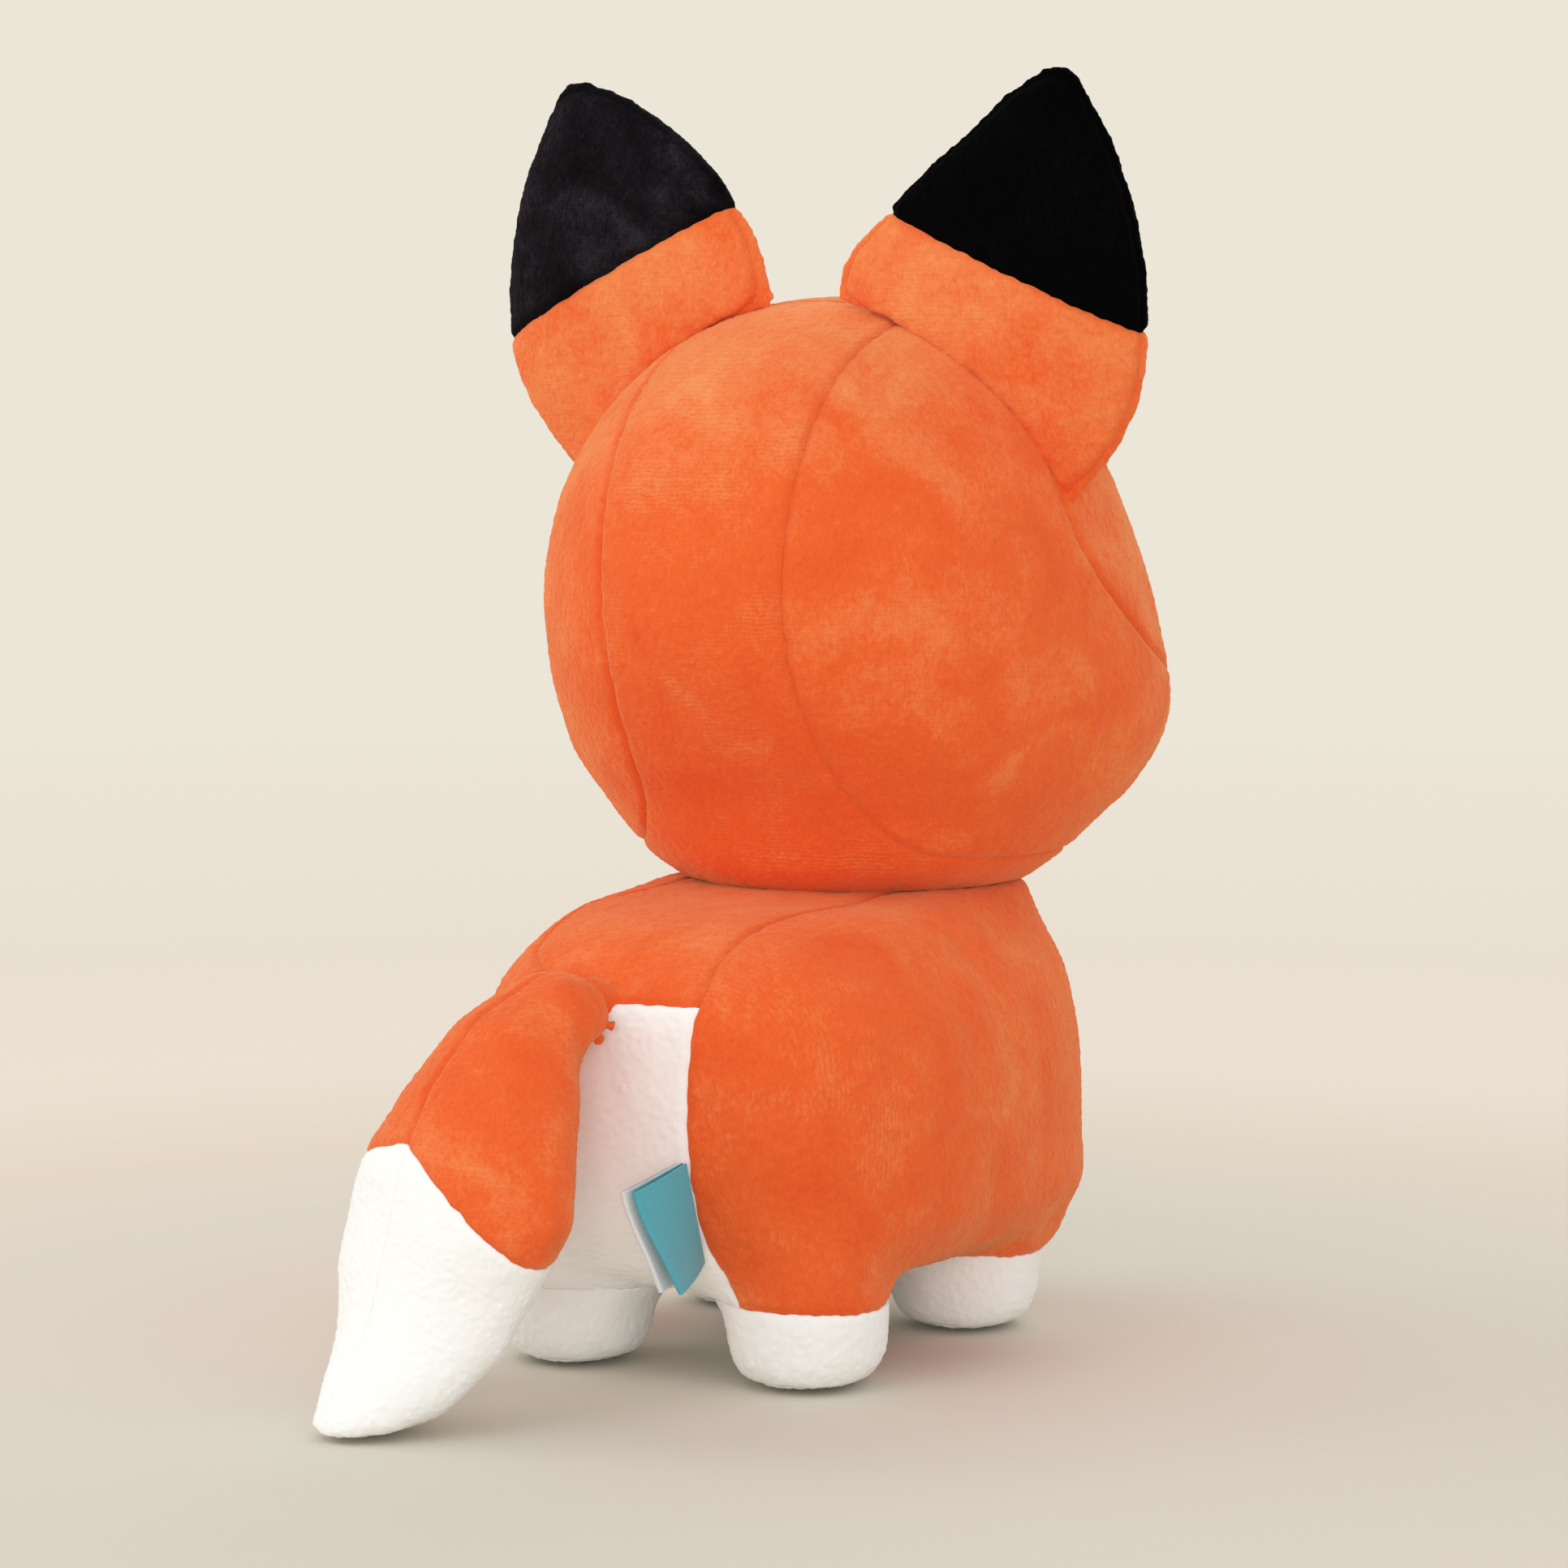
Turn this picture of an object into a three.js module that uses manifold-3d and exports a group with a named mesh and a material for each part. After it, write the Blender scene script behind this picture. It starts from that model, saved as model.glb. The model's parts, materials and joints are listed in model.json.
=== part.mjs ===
// A stuffed toy fox: sewn fabric panels round wads of fibre filling.
// Lengths are in millimetres and angles in degrees. The fox faces -Y, its left is +X, and it stands on Z = 0.
import * as THREE from 'three';
import { mergeVertices } from 'three/addons/utils/BufferGeometryUtils.js';
import Module from 'manifold-3d';

const wasm = await Module();
wasm.setup();

// Fabric and seams.
const SKIN = 3; // knitted backing with its pile
const SEAM_GAP = 0.3; // between sewn panels, and between a skin and its filling
const RUNNING_GAP = 0.6; // between parts that turn in each other
const OVERRUN = 300; // how far a cut reaches past what it cuts

// Torso, measured from the floor and from a point near the middle of its length.
const BELLY_HEIGHT = 16;
const TORSO_HEIGHT = 83;
const TORSO_HALF_WIDTH = 58;
const TORSO_BACK = 64;
const TORSO_FRONT = 76;
const TORSO_CENTRE_Y = 20;
const TORSO_CORNER_POWER = 2.7;
// Height, half width, rear reach and front reach of each section, as shares of the sizes above.
const TORSO_SECTION_SHARES = [
  [0, 0.4, 0.42, 0.5],
  [0.03, 0.62, 0.74, 0.8],
  [0.09, 0.84, 0.87, 0.94],
  [0.21, 0.975, 0.96, 1.01],
  [0.4, 1, 1, 1.025],
  [0.6, 1, 1.01, 1.015],
  [0.76, 0.955, 1, 1],
  [0.85, 0.87, 0.94, 0.985],
  [0.92, 0.79, 0.82, 0.975],
  [0.97, 0.74, 0.68, 0.97],
  [1, 0.7, 0.42, 0.96],
];
const TORSO_SEGMENTS = 28;
const RUMP_SEAM_HEIGHT = 82; // where the orange back meets the white rump
const CHEST_SEAM_Y = -16; // where the belly meets the chest, at the neck
const CHEST_SEAM_TILT = 15; // the seam runs forward as it goes down
// Half width of the strip between the two flanks behind the chest seam, against height.
const STRIP_HEIGHT_SHARES = [[0, 0.36], [0.08, 0.33], [0.16, 0.3], [0.4, 0.275], [0.7, 0.28], [0.84, 0.29]];
// The same on top of the back, against the way from the rump to the neck.
const STRIP_LENGTH_SHARES = [[0.98, 0.29], [0.7, 0.345], [0.3, 0.38], [-0.2, 0.43]];
// Half width of the chest panel, against height.
const CHEST_SHARES = [[0, 0.36], [0.15, 0.42], [0.4, 0.5], [0.7, 0.52], [0.9, 0.47], [1, 0.43]];

// Legs and paws.
const LEG_SPREAD = 28.4;
const HIND_LEG_Y = 56;
const FRONT_LEG_Y = -16.6;
const LEG_RADIUS = 18.8;
const LEG_TOP = 34; // how high a leg reaches into the torso
const HEM_HEIGHT = 18.5; // where the orange leg meets the white paw
const PAW_FLAT_RADIUS = 13.6;
const SOLE_RADIUS = 12;
// Height as a share of the hem's, and radius as a share of the leg's.
const PAW_PROFILE_SHARES = [[0.1, 0.83], [0.28, 0.93], [0.6, 0.985], [1, 1]];
const LEG_SEGMENTS = 16;

// Neck: a ball of filling under the head turns in a dish in the torso.
const NECK_CENTRE_Y = -18;
const NECK_BALL_RADIUS = 38;
const NECK_DISH_RADIUS = 30;
const NECK_HOLE_RADIUS = 22; // opening in the head's skin
const NECK_PLUG_HEIGHT = 6; // how far the neck's filling goes into the head's
const NECK_CREASE = 3.4; // from the torso's rim to the head's underside, counted twice
const NECK_SEAM_WIDTH = 3.2;
const NECK_SEAM_HEIGHT = 2.2;
const BALL_SEGMENTS = 24;

// Head, measured from its centre.
const HEAD_CENTRE_Y = -13;
const HEAD_HALF_WIDTH = 65.5;
const HEAD_BACK = 70;
const HEAD_FRONT = 60;
const HEAD_RISE = 68.5;
const HEAD_DROP = 61;
const HEAD_PLAN_POWER = 2.15;
const HEAD_RISE_POWER = 2.05;
const HEAD_DROP_POWER = 3;
const NAPE_DROP_POWER = 1.75;
const CHEEK_SWELL = 9.5;
const MUZZLE_SWELL = 8;
const HEAD_DETAIL = 5;
// Height and half width of the gusset over the back of the head, as shares of the head's height and half width.
const GUSSET_SHARES = [
  [0.032, 0.9],
  [0.05, 0.585],
  [0.075, 0.49],
  [0.13, 0.42],
  [0.21, 0.37],
  [0.38, 0.342],
  [0.6, 0.35],
  [0.76, 0.375],
  [1, 0.385],
];
// The seam round the face, from the crown down and forward, as shares of the head's front and rise.
const FACE_SEAM_SHARES = [
  [0.2, 0.62],
  [0.2, 0.32],
  [0.14, 0.17],
  [-0.067, -0.01],
  [-0.27, -0.14],
  [-0.62, -0.27],
  [-0.85, -0.24],
  [-1.02, -0.15],
];
// The seam behind the white cheek, from the face seam down.
const CHEEK_SEAM_SHARES = [[-0.62, -0.27], [-0.52, -0.5], [-0.5, -0.7]];
const MUZZLE_PATCH_RADIUS = 19;

// Safety eyes and nose: a dome on a post, held by a washer inside the head.
const EYE_RADIUS = 6.5;
const EYE_HEIGHT = 3.6;
const NOSE_RADIUS = 5;
const NOSE_HEIGHT = 4;
const POST_RADIUS = 2;
const POST_LENGTH = 12;
const WASHER_RADIUS = 6.5;
const WASHER_THICKNESS = 1.4;
const WASHER_DROP = 1.7; // from the skin's inner face to the washer
const DOME_STEPS = 4;
const BUTTON_SEGMENTS = 12;

// Ears: leaf-shaped pods sewn to the head along a chord.
const EAR_INNER_LEAN = 8; // of the chord's inner end from straight up, seen from the head's centre
const EAR_OUTER_LEAN = 68;
const EAR_SETBACK_SHARE = 0.2;
const EAR_YAW = 10; // the outer end lies further forward
const EAR_HEIGHT = 70.5;
const EAR_HALF_WIDTH = 36.5;
const EAR_HALF_THICKNESS = 8.5;
const EAR_FOLD = 12; // how far an ear folds either way
const EAR_HINGE_RISE = 4; // from the chord to the fold line
// Height, middle, half width and half thickness of each section, as shares of the ear's sizes.
const EAR_SECTION_SHARES = [
  [0, 0, 0.93, 0.4],
  [0.18, -0.04, 1.04, 0.8],
  [0.36, -0.09, 1.03, 1],
  [0.5, -0.145, 0.94, 1],
  [0.65, -0.245, 0.775, 0.9],
  [0.79, -0.36, 0.57, 0.72],
  [0.9, -0.485, 0.35, 0.48],
  [0.97, -0.6, 0.17, 0.28],
  [1, -0.66, 0.06, 0.12],
];
const EAR_SEGMENTS = 16;
const EAR_TIP_SEAM_SHARE = 0.44; // height of the black tip's seam on the ear's middle line
const EAR_TIP_SEAM_SLOPE = 15;
// Height, middle and half width of the white lining in the front of the ear.
const EAR_LINING_SHARES = [
  [0.2, -0.06, 0.3],
  [0.24, -0.07, 0.43],
  [0.31, -0.09, 0.52],
  [0.41, -0.12, 0.55],
  [0.51, -0.16, 0.5],
  [0.61, -0.22, 0.37],
  [0.7, -0.29, 0.2],
  [0.75, -0.33, 0.07],
];

// Tail, measured from the middle of its root, in the upright plane that it hangs in.
const TAIL_ROOT_X = 8;
const TAIL_ROOT_SINK = 4; // how far the root's middle lies inside the rump
const TAIL_ROOT_HEIGHT = 84;
const TAIL_ROOT_RADIUS = 9;
const TAIL_YAW = 18.4; // towards the fox's left
const TAIL_REACH = 73;
const TAIL_DROP = 80.5;
const TAIL_HALF_WIDTH = 25;
const TAIL_HALF_THICKNESS = 17;
const TAIL_SWING = 18;
const TAIL_LIFT = 40;
// Reach, drop, half width and half thickness of each section, as shares of the tail's sizes.
const TAIL_SECTION_SHARES = [
  [0, 0, 0.36, 0.5],
  [0.16, -0.01, 0.52, 0.57],
  [0.32, 0.11, 0.72, 0.76],
  [0.44, 0.29, 0.93, 0.95],
  [0.52, 0.47, 1.06, 1],
  [0.58, 0.65, 1.04, 0.95],
  [0.67, 0.8, 0.9, 0.8],
  [0.79, 0.91, 0.68, 0.57],
  [0.935, 0.975, 0.41, 0.3],
  [1.03, 1, 0.15, 0.1],
];
const TAIL_SEGMENTS = 16;
const TAIL_SEAM_SHARE = 0.42; // way along the tail of the white tip's seam, on the ridge
const TAIL_SEAM_SLOPE = 32;

// Sewn-in labels in the rump's right seam, folded double.
const LABEL_TOP_HEIGHT = 52;
const LABEL_LENGTH = 22;
const LABEL_REACH = 17;
const LABEL_SHEET = 0.4;
const LABEL_FOLD_GAP = 0.3;
const LABEL_DROOP = 12;
const LABEL_LEAN = 13;
const LABEL_ROOT_GAP = 2.4;
const CARE_LABEL_SHARE = 0.94;

const THIN_SHARE = 1.2; // of the skin's thickness, that a filled form must have on each side
const FACING_SHARE = 0.08; // of the head's size, between the points that a button's seat is laid through
const PIN_SHARE = 2; // of the skin's thickness, that the sewn edge of an ear takes

const up = new THREE.Vector3(0, 0, 1);
const left = new THREE.Vector3(1, 0, 0);
const backward = new THREE.Vector3(0, 1, 0);
const eyeDirection = new THREE.Vector3(0.47, -0.88, -0.1).normalize();
const noseDirection = new THREE.Vector3(0, -1, -0.22).normalize();
const muzzleDirection = new THREE.Vector3(0, -1, -0.4).normalize();
const rad = THREE.MathUtils.degToRad;
const sides = [['left', 1], ['right', -1]];

const neckHeight = BELLY_HEIGHT + TORSO_HEIGHT;
const neckPoint = new THREE.Vector3(0, NECK_CENTRE_Y, 0);
const dishRadius = NECK_BALL_RADIUS + RUNNING_GAP;
const neckPivot = neckPoint.clone().setZ(neckHeight + Math.sqrt(dishRadius ** 2 - NECK_DISH_RADIUS ** 2));
const headHeight = HEAD_RISE + HEAD_DROP;
const headBottom = neckHeight + NECK_CREASE / 2;
const headCentre = new THREE.Vector3(0, HEAD_CENTRE_Y, headBottom + HEAD_DROP);

const fabric = (color) => new THREE.MeshStandardMaterial({ color, roughness: 0.95, metalness: 0 });
const gloss = (color, roughness) => new THREE.MeshStandardMaterial({ color, roughness, metalness: 0 });
const materials = {
  orange: fabric(0xe8622a),
  white: fabric(0xf3efe6),
  black: fabric(0x14151b),
  filling: fabric(0xf7f5ef),
  thread: fabric(0xd9541f),
  teal: fabric(0x3fb0bd),
  paper: fabric(0xf4f4f2),
  plastic: gloss(0x101012, 0.15),
  washer: gloss(0xe9e9e4, 0.5),
};

const model = new THREE.Group();

// Makes a solid of a closed geometry.
function solidOf(geometry) {
  const plain = geometry.clone();
  plain.deleteAttribute('normal');
  plain.deleteAttribute('uv');
  const merged = mergeVertices(plain);
  return new wasm.Manifold(new wasm.Mesh({
    numProp: 3,
    vertProperties: new Float32Array(merged.attributes.position.array),
    triVerts: new Uint32Array(merged.index.array),
  }));
}

function addPart(name, solid, material) {
  const mesh = solid.getMesh();
  const geometry = new THREE.BufferGeometry();
  geometry.setAttribute('position', new THREE.BufferAttribute(mesh.vertProperties, 3));
  geometry.setIndex(new THREE.BufferAttribute(mesh.triVerts, 1));
  const part = new THREE.Mesh(geometry, material);
  part.name = name;
  model.add(part);
}

const cutAway = (solid, ...cutters) => cutters.reduce((rest, cutter) => rest.subtract(cutter), solid);
const common = (solid, ...others) => others.reduce((rest, other) => rest.intersect(other), solid);
const joined = (solid, ...others) => others.reduce((whole, other) => whole.add(other), solid);

// Everything on the side of a plane that its normal points away from.
function behind(point, normal) {
  const block = new THREE.BoxGeometry(2 * OVERRUN, 2 * OVERRUN, OVERRUN);
  block.translate(0, 0, -OVERRUN / 2);
  block.applyQuaternion(new THREE.Quaternion().setFromUnitVectors(up, normal.clone().normalize()));
  block.translate(...point);
  return solidOf(block);
}

// An outline in the plane of two axes, pulled out both ways along the third.
function prism(points, across, along, middle = new THREE.Vector3()) {
  const shape = new THREE.Shape(points.map(([a, b]) => new THREE.Vector2(a, b)));
  const body = new THREE.ExtrudeGeometry(shape, { depth: 2 * OVERRUN, bevelEnabled: false });
  body.translate(0, 0, -OVERRUN);
  body.applyMatrix4(new THREE.Matrix4().makeBasis(across, along, across.clone().cross(along)));
  body.translate(...middle);
  return solidOf(body);
}

// A band with the same edge on both sides of its middle line, cut off at neither end.
function band(edge, across, along) {
  const [first, last] = [edge[0], edge.at(-1)];
  const forth = Math.sign(last[1] - first[1]) * OVERRUN;
  const side = [[first[0], first[1] - forth], ...edge, [last[0], last[1] + forth]];
  return prism([...side, ...side.map(([a, b]) => [-a, b]).reverse()], across, along);
}

function ball(centre, radius) {
  const sphere = new THREE.SphereGeometry(radius, BALL_SEGMENTS, BALL_SEGMENTS / 2);
  sphere.rotateX(Math.PI / 2);
  sphere.translate(...centre);
  return solidOf(sphere);
}

// A solid turned from a profile of radius and height, its axis through a point along a direction.
function turned(profile, point, axis, segments) {
  const body = new THREE.LatheGeometry(profile.map(([r, h]) => new THREE.Vector2(r, h)), segments);
  body.applyQuaternion(new THREE.Quaternion().setFromUnitVectors(backward, axis));
  body.translate(...point);
  return solidOf(body);
}

function rod(point, axis, radius, from, to, segments = BALL_SEGMENTS) {
  return turned([[0, from], [radius, from], [radius, to], [0, to]], point, axis, segments);
}

// Skins equal rings of points one after another, with a fan on each end.
function loft(rings) {
  const points = rings.flat();
  const count = rings[0].length;
  const index = [];
  for (let k = 0; k < rings.length - 1; k += 1) {
    for (let i = 0; i < count; i += 1) {
      const a = k * count + i;
      const b = k * count + ((i + 1) % count);
      index.push(a, b, b + count, a, b + count, a + count);
    }
  }
  for (const [ring, atStart] of [[0, true], [rings.length - 1, false]]) {
    const centre = new THREE.Vector3();
    rings[ring].forEach((p) => centre.addScaledVector(p, 1 / count));
    points.push(centre);
    const hub = points.length - 1;
    for (let i = 0; i < count; i += 1) {
      const a = ring * count + i;
      const b = ring * count + ((i + 1) % count);
      index.push(...(atStart ? [hub, b, a] : [hub, a, b]));
    }
  }
  const geometry = new THREE.BufferGeometry().setFromPoints(points);
  geometry.setIndex(index);
  return solidOf(geometry);
}

const signedPower = (value, power) => Math.sign(value) * Math.abs(value) ** power;

function turnedAbout(solid, point, axis, degrees) {
  const turn = new THREE.Matrix4().makeTranslation(...point)
    .multiply(new THREE.Matrix4().makeRotationAxis(axis, rad(degrees)))
    .multiply(new THREE.Matrix4().makeTranslation(...point.clone().negate()));
  return solid.transform(turn.elements);
}

// The torso as a stack of rounded sections, drawn in by inset on every side.
function torsoForm(inset) {
  return loft(TORSO_SECTION_SHARES.map(([heightShare, widthShare, backShare, frontShare]) => {
    const width = widthShare * TORSO_HALF_WIDTH - inset;
    const back = backShare * TORSO_BACK - inset;
    const front = frontShare * TORSO_FRONT - inset;
    const z = BELLY_HEIGHT + inset + heightShare * (TORSO_HEIGHT - 2 * inset);
    return Array.from({ length: TORSO_SEGMENTS }, (_, i) => {
      const angle = (i / TORSO_SEGMENTS) * 2 * Math.PI;
      return new THREE.Vector3(
        width * signedPower(Math.cos(angle), 2 / TORSO_CORNER_POWER),
        TORSO_CENTRE_Y + (back - front) / 2
          + ((back + front) / 2) * signedPower(Math.sin(angle), 2 / TORSO_CORNER_POWER),
        z,
      );
    });
  }));
}

// A leg with its paw, drawn in by inset.
function legForm(x, y, inset) {
  const profile = PAW_PROFILE_SHARES.map(
    ([heightShare, radiusShare]) => [radiusShare * LEG_RADIUS - inset, heightShare * HEM_HEIGHT + inset],
  );
  return turned(
    [[0, inset], [PAW_FLAT_RADIUS - inset, inset], ...profile, [LEG_RADIUS - inset, LEG_TOP], [0, LEG_TOP]],
    new THREE.Vector3(x, y, 0),
    up,
    LEG_SEGMENTS,
  );
}

// How far the head's skin lies from its centre in a direction.
function headReach(direction) {
  const flat = Math.hypot(direction.x, direction.y) || 1;
  const nape = Math.max(0, direction.y / flat) ** 2;
  const dropPower = THREE.MathUtils.lerp(HEAD_DROP_POWER, NAPE_DROP_POWER, nape);
  const [height, power] = direction.z > 0 ? [HEAD_RISE, HEAD_RISE_POWER] : [HEAD_DROP, dropPower];
  const depth = direction.y > 0 ? HEAD_BACK : HEAD_FRONT;
  const plan = (Math.abs(direction.x / HEAD_HALF_WIDTH) ** HEAD_PLAN_POWER
    + Math.abs(direction.y / depth) ** HEAD_PLAN_POWER) ** (1 / HEAD_PLAN_POWER);
  const swell = (middle, spread, amount) => amount * Math.exp(-((direction.angleTo(middle) / spread) ** 2));
  return (plan ** power + Math.abs(direction.z / height) ** power) ** (-1 / power)
    + swell(new THREE.Vector3(1, -0.55, -0.42), 0.45, CHEEK_SWELL)
    + swell(new THREE.Vector3(-1, -0.55, -0.42), 0.45, CHEEK_SWELL)
    + swell(muzzleDirection, 0.4, MUZZLE_SWELL);
}

const onHead = (direction) => direction.clone().multiplyScalar(headReach(direction)).add(headCentre);

// The way that the head's skin faces in a direction.
function headFacing(direction) {
  const aside = direction.clone().cross(up).multiplyScalar(FACING_SHARE);
  const above = aside.clone().cross(direction);
  const [right, middle, top] = [aside, new THREE.Vector3(), above].map(
    (step) => onHead(direction.clone().add(step).normalize()),
  );
  return top.sub(middle).cross(right.sub(middle)).normalize();
}

function headForm(inset) {
  const geometry = new THREE.IcosahedronGeometry(1, HEAD_DETAIL);
  const place = geometry.attributes.position;
  const direction = new THREE.Vector3();
  for (let i = 0; i < place.count; i += 1) {
    direction.fromBufferAttribute(place, i).normalize();
    direction.multiplyScalar(headReach(direction) - inset).add(headCentre);
    place.setXYZ(i, ...direction);
  }
  return solidOf(geometry);
}

// The frame that an ear is drawn in: the middle of its chord, and the ways along it, up it and behind it.
function earFrame(side) {
  const chordEnd = (lean) => onHead(
    new THREE.Vector3(side * Math.sin(rad(lean)), EAR_SETBACK_SHARE, Math.cos(rad(lean))).normalize(),
  );
  const inner = chordEnd(EAR_INNER_LEAN);
  const outer = chordEnd(EAR_OUTER_LEAN);
  const along = outer.clone().sub(inner).setY(0).normalize();
  along.applyAxisAngle(up, rad(-EAR_YAW * side));
  const rise = new THREE.Vector3(side * -along.z, 0, side * along.x).normalize();
  const back = rise.clone().cross(along).multiplyScalar(side).normalize();
  return { middle: inner.lerp(outer, 0.5), along, rise, back };
}

// A form has no room for filling where it is thin, so a drawn-in form leaves those sections out.
const filled = (rows, halfThickness, inset) => rows.filter(
  (row) => row[3] * halfThickness > THIN_SHARE * inset,
);

function earForm(side, inset) {
  const { middle, along, rise, back } = earFrame(side);
  const rows = filled(EAR_SECTION_SHARES, EAR_HALF_THICKNESS, inset);
  return loft(rows.map(([heightShare, centreShare, widthShare, thickShare]) => {
    const width = widthShare * EAR_HALF_WIDTH - PIN_SHARE * inset;
    const thick = thickShare * EAR_HALF_THICKNESS - inset;
    return Array.from({ length: EAR_SEGMENTS }, (_, i) => {
      const angle = ((side * i) / EAR_SEGMENTS) * 2 * Math.PI;
      return middle.clone()
        .addScaledVector(along, centreShare * EAR_HALF_WIDTH + width * Math.cos(angle))
        .addScaledVector(back, thick * Math.sin(angle))
        .addScaledVector(rise, heightShare * EAR_HEIGHT);
    });
  }));
}

// The tail hangs in an upright plane: out is the way it reaches, across is square to the plane.
const tailOut = backward.clone().applyAxisAngle(up, rad(-TAIL_YAW));
const tailAcross = tailOut.clone().cross(up);
const tailRoot = new THREE.Vector3(TAIL_ROOT_X, TORSO_CENTRE_Y + TORSO_BACK - TAIL_ROOT_SINK, TAIL_ROOT_HEIGHT);
const tailPath = new THREE.CatmullRomCurve3(TAIL_SECTION_SHARES.map(([reachShare, dropShare]) => tailRoot.clone()
  .addScaledVector(tailOut, reachShare * TAIL_REACH)
  .addScaledVector(up, -dropShare * TAIL_DROP)));

function tailForm(inset) {
  const ways = TAIL_SECTION_SHARES.map((row, i) => [...row, i / (TAIL_SECTION_SHARES.length - 1)]);
  return loft(filled(ways, TAIL_HALF_THICKNESS, inset).map(([, , widthShare, thickShare, way]) => {
    const centre = tailPath.getPoint(way);
    const ridge = tailAcross.clone().cross(tailPath.getTangent(way)).normalize();
    return Array.from({ length: TAIL_SEGMENTS }, (_, i) => {
      const angle = (i / TAIL_SEGMENTS) * 2 * Math.PI;
      return centre.clone()
        .addScaledVector(tailAcross, (widthShare * TAIL_HALF_WIDTH - inset) * Math.cos(angle))
        .addScaledVector(ridge, -(thickShare * TAIL_HALF_THICKNESS - inset) * Math.sin(angle));
    });
  }));
}

function addHead() {
  const gusset = (gap) => band(
    GUSSET_SHARES.map(([heightShare, widthShare]) => [
      widthShare * HEAD_HALF_WIDTH - gap,
      headBottom + heightShare * headHeight - gap,
    ]),
    left,
    up,
  );
  const seam = (shares, forward, rise) => shares.map(([frontShare, riseShare]) => [
    headCentre.y + frontShare * HEAD_FRONT - forward,
    headCentre.z + riseShare * HEAD_RISE + rise,
  ]);
  const face = (gap) => {
    const edge = seam(FACE_SEAM_SHARES, gap, gap);
    const top = headCentre.z + OVERRUN;
    return prism([[edge[0][0], top], ...edge, [-OVERRUN, edge.at(-1)[1]], [-OVERRUN, top]], backward, up);
  };
  const cheeks = (gap) => {
    const edge = seam(CHEEK_SEAM_SHARES, gap, 0);
    return prism(
      [[edge[0][0], headCentre.z], ...edge, [edge.at(-1)[0], -OVERRUN], [-OVERRUN, -OVERRUN],
        [-OVERRUN, headCentre.z]],
      backward,
      up,
    );
  };
  const muzzle = (gap) => ball(onHead(muzzleDirection), MUZZLE_PATCH_RADIUS - gap);

  const buttons = sides.map(([name, side]) => [
    `eye_${name}`,
    eyeDirection.clone().multiply(new THREE.Vector3(side, 1, 1)),
    EYE_RADIUS,
    EYE_HEIGHT,
  ]);
  buttons.push(['nose', noseDirection, NOSE_RADIUS, NOSE_HEIGHT]);
  const washerTop = SKIN + SEAM_GAP + WASHER_DROP;
  const washerBottom = washerTop + WASHER_THICKNESS;
  const bore = POST_RADIUS + SEAM_GAP;
  const nearSkin = headForm(-SEAM_GAP);
  let skin = headForm(0).subtract(headForm(SKIN));
  let core = headForm(SKIN + SEAM_GAP);
  for (const [name, lookout, radius, height] of buttons) {
    const seat = onHead(lookout);
    const direction = headFacing(lookout);
    const dome = Array.from({ length: DOME_STEPS + 1 }, (_, i) => {
      const angle = (i / DOME_STEPS) * (Math.PI / 2);
      return [radius * Math.cos(angle), height * Math.sin(angle)];
    });
    const cap = turned([[0, -height], [radius, -height], ...dome], seat, direction, BUTTON_SEGMENTS);
    const post = rod(seat, direction, POST_RADIUS, -POST_LENGTH, height / 2, BUTTON_SEGMENTS);
    addPart(name, joined(cap.subtract(nearSkin), post), materials.plastic);
    const ring = [
      [bore, -washerTop],
      [bore, -washerBottom],
      [WASHER_RADIUS, -washerBottom],
      [WASHER_RADIUS, -washerTop],
      [bore, -washerTop],
    ];
    addPart(`${name}_washer`, turned(ring, seat, direction, BUTTON_SEGMENTS), materials.washer);
    const postRoom = rod(seat, direction, bore, -POST_LENGTH - SEAM_GAP, height, BUTTON_SEGMENTS);
    const washerRoom = rod(
      seat,
      direction,
      WASHER_RADIUS + SEAM_GAP,
      -washerBottom - SEAM_GAP,
      height,
      BUTTON_SEGMENTS,
    );
    skin = skin.subtract(postRoom);
    core = cutAway(core, postRoom, washerRoom);
  }

  const plugTop = headBottom + SKIN + NECK_PLUG_HEIGHT;
  const neckHole = rod(neckPoint, up, NECK_HOLE_RADIUS, 0, plugTop + SEAM_GAP);
  addPart('head_stuffing', core.subtract(neckHole), materials.filling);
  addPart('neck_stuffing', common(
    ball(neckPivot, NECK_BALL_RADIUS),
    joined(
      behind(headCentre, up).subtract(nearSkin),
      rod(neckPoint, up, NECK_HOLE_RADIUS - SEAM_GAP, 0, plugTop),
    ),
  ), materials.filling);

  addPart('face_forehead', common(skin, face(SEAM_GAP)).subtract(muzzle(0)), materials.orange);
  addPart('face_muzzle', common(skin, muzzle(SEAM_GAP)), materials.white);
  const lower = cutAway(skin, face(0), neckHole);
  const white = common(lower, cheeks(SEAM_GAP)).subtract(muzzle(0));
  const rear = lower.subtract(cheeks(0));
  addPart('head_gusset', common(rear, gusset(SEAM_GAP)), materials.orange);
  const beside = rear.subtract(gusset(0));
  for (const [name, side] of sides) {
    const half = behind(left.clone().multiplyScalar((side * SEAM_GAP) / 2), left.clone().multiplyScalar(-side));
    addPart(`head_side_${name}`, common(beside, half), materials.orange);
    addPart(`face_cheek_${name}`, common(white, half), materials.white);
  }
}

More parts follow.
